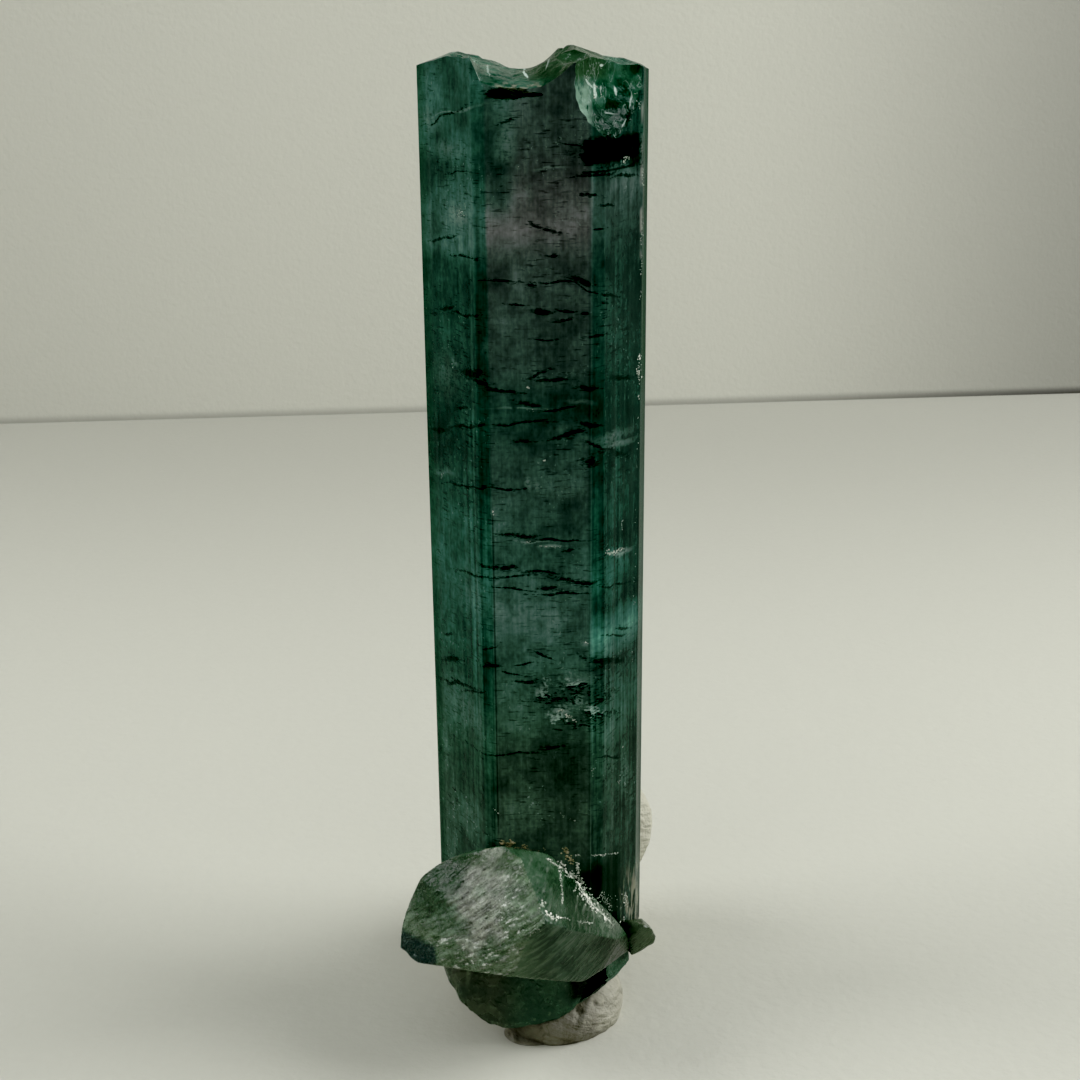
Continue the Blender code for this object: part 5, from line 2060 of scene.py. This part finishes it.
@dataclass(frozen=True)
class PaperFinish:
    """Pale paper with a faint tooth, which may give off a little painted light, an emission where no
    lamp is.
    """

    name: str
    tone: float
    painted_emission: float
    low: tuple[float, float, float] = (0.97, 0.97, 0.86)
    high: tuple[float, float, float] = (1.0, 1.0, 0.89)
    # Colour of the painted light that the paper gives off.
    behind: Colour = (0.97, 0.97, 0.87, 1.0)

    def build(self) -> bpy.types.Material:
        """Paints shade on the sheet where it lies far, aside and along the wall's foot, and paints
        light where it lies near.
        """
        sheet = Sheet(self.name)
        tooth = sheet.noise((1.6, 1.6, 1.6), 3.0)
        low, high = ((*(part * self.tone for part in hue), 1.0) for hue in (self.low, self.high))
        x, y, z = sheet.axes()
        # Painted shade on the floor towards the wall, and painted light towards the lens.
        wall_foot_shade = y.fade(30.0, 132.0) * (1.0 - z.fade(0.0, 1.0)) * 0.24
        lens_side_light = (1.0 - (y + x * 0.25).fade(-60.0, 20.0)) * -0.14
        # Painted shade on the wall to either side, and a line of painted shadow along its foot.
        aside = x.fade(20.0, 85.0) * 0.50 + (1.0 - x.fade(-95.0, -20.0)) * 0.12
        gap = (1.0 - z.fade(0.5, 1.3)) * (0.10 + x.fade(-60.0, 90.0) * 0.16)
        upright = (aside + gap) * z.fade(0.0, 0.1)
        shade = 1.0 - wall_foot_shade - lens_side_light - upright
        return sheet.surface(
            Base_Color=sheet.mix(1.0, sheet.mix(tooth, low, high), shade, "MULTIPLY"),
            Roughness=0.85,
            Normal=sheet.bump(tooth, 0.05),
            # Painted light: the paper's emission stands for light that no lamp gives.
            Emission_Color=self.behind,
            Emission_Strength=self.painted_emission,
        )


@dataclass(frozen=True)
class Softbox:
    """A square soft light that looks at the specimen."""

    name: str
    place: Point
    size: float
    power: float
    colour: tuple[float, float, float] = (1.0, 1.0, 1.0)

    def build(self) -> None:
        """Hangs the light and turns it to the specimen."""
        lamp = bpy.data.lights.new(self.name, "AREA")
        lamp.size, lamp.energy, lamp.color = self.size, self.power, self.colour
        item = bpy.data.objects.new(self.name, lamp)
        item.location = self.place
        away = Vector(self.place) - Vector((0.0, 0.0, 0.025))
        item.rotation_euler = away.to_track_quat("Z", "Y").to_euler()
        bpy.context.scene.collection.objects.link(item)


@dataclass
class Studio:
    """The camera, a paper floor, a paper wall and soft daylight."""

    camera_place: Point = (0.574, -83.275, 55.6)
    pitch: float = 18.7
    roll: float = 0.5
    lens: float = 56.67
    wall_y: float = 0.135
    wall_skew: float = 0.079
    wall_top: float = 0.16
    front_y: float = -0.13
    lights: tuple[Softbox, ...] = (
        Softbox("key", (0.27, 0.0, 0.24), 0.20, 1.05),
        Softbox("left_window", (-0.28, -0.02, 0.26), 0.18, 0.60),
        Softbox("fill", (-0.05, -0.30, 0.50), 0.50, 0.60),
    )

    def camera(self) -> None:
        """Puts the camera in front, above and looking down."""
        data = bpy.data.cameras.new("camera")
        data.lens, data.sensor_width = self.lens, 36.0
        data.clip_start = 0.002
        item = bpy.data.objects.new("camera", data)
        item.location = Vector(self.camera_place) * MM
        turn = Matrix.Rotation(math.radians(90.0 - self.pitch), 4, "X")
        turn = turn @ Matrix.Rotation(math.radians(-self.roll), 4, "Z")
        item.rotation_euler = turn.to_euler()
        bpy.context.scene.collection.objects.link(item)
        bpy.context.scene.camera = item

    def board(self, name: str, corners: Array, tone: float, painted_emission: float = 0.0) -> None:
        """A flat staged sheet with these four corners, in metres."""
        mesh = bpy.data.meshes.new(name)
        mesh.from_pydata([tuple(c) for c in corners], [], [(0, 1, 2, 3)])
        mesh.materials.append(PaperFinish(name, tone, painted_emission).build())
        item = bpy.data.objects.new(name, mesh)
        bpy.context.scene.collection.objects.link(item)

    def sky(self) -> None:
        """Soft room light: bright overhead, dim from the front and below."""
        world = bpy.data.worlds.new("sky")
        world.use_nodes = True
        tree = world.node_tree
        coords = tree.nodes.new("ShaderNodeTexCoord")
        split = tree.nodes.new("ShaderNodeSeparateXYZ")
        ramp = tree.nodes.new("ShaderNodeMapRange")
        tree.links.new(coords.outputs["Generated"], split.inputs[0])
        tree.links.new(split.outputs["Z"], ramp.inputs["Value"])
        ramp.inputs["From Min"].default_value = 0.05
        ramp.inputs["From Max"].default_value = 0.75
        ramp.inputs["To Min"].default_value = 0.05
        ramp.inputs["To Max"].default_value = 0.26
        ground = tree.nodes["Background"]
        ground.inputs["Color"].default_value = (0.86, 0.90, 0.90, 1.0)
        tree.links.new(ramp.outputs["Result"], ground.inputs["Strength"])
        bpy.context.scene.world = world

    @staticmethod
    def film() -> None:
        """A print with deep shadows: the darkest tones are pulled down."""
        view = bpy.context.scene.view_settings
        view.view_transform = "Standard"
        view.use_curve_mapping = True
        curve = view.curve_mapping.curves[3]
        for dark, printed in ((0.045, 0.004), (0.12, 0.07), (0.32, 0.28)):
            curve.points.new(dark, printed)
        view.curve_mapping.update()

    def build(self) -> None:
        """Builds the stage, the lights and the camera."""
        y, top, front = self.wall_y, self.wall_top, self.front_y
        floor = [(-0.5, front, 0.0), (0.5, front, 0.0), (0.5, y, 0.0), (-0.5, y, 0.0)]
        near, far = y - self.wall_skew * 0.5, y + self.wall_skew * 0.5
        wall = [(-0.5, near, 0.0), (0.5, far, 0.0), (0.5, far, top), (-0.5, near, top)]
        floor[2:] = [(0.5, far, 0.0), (-0.5, near, 0.0)]
        self.board("floor", np.array(floor), 0.57)
        # The wall gives off a little painted light.
        self.board("wall", np.array(wall), 0.62, 0.05)
        for light in self.lights:
            light.build()
        self.sky()
        self.film()
        self.camera()


def main() -> None:
    """Builds the studio, the crystal and the putty."""
    logging.basicConfig(level=logging.INFO, format="%(message)s")
    Studio().build()
    crystal = Tourmaline().build()
    Fractures().build()
    Crust(crystal).build()
    Putty().build()
    bpy.context.view_layer.update()


if __name__ == "__main__":
    main()
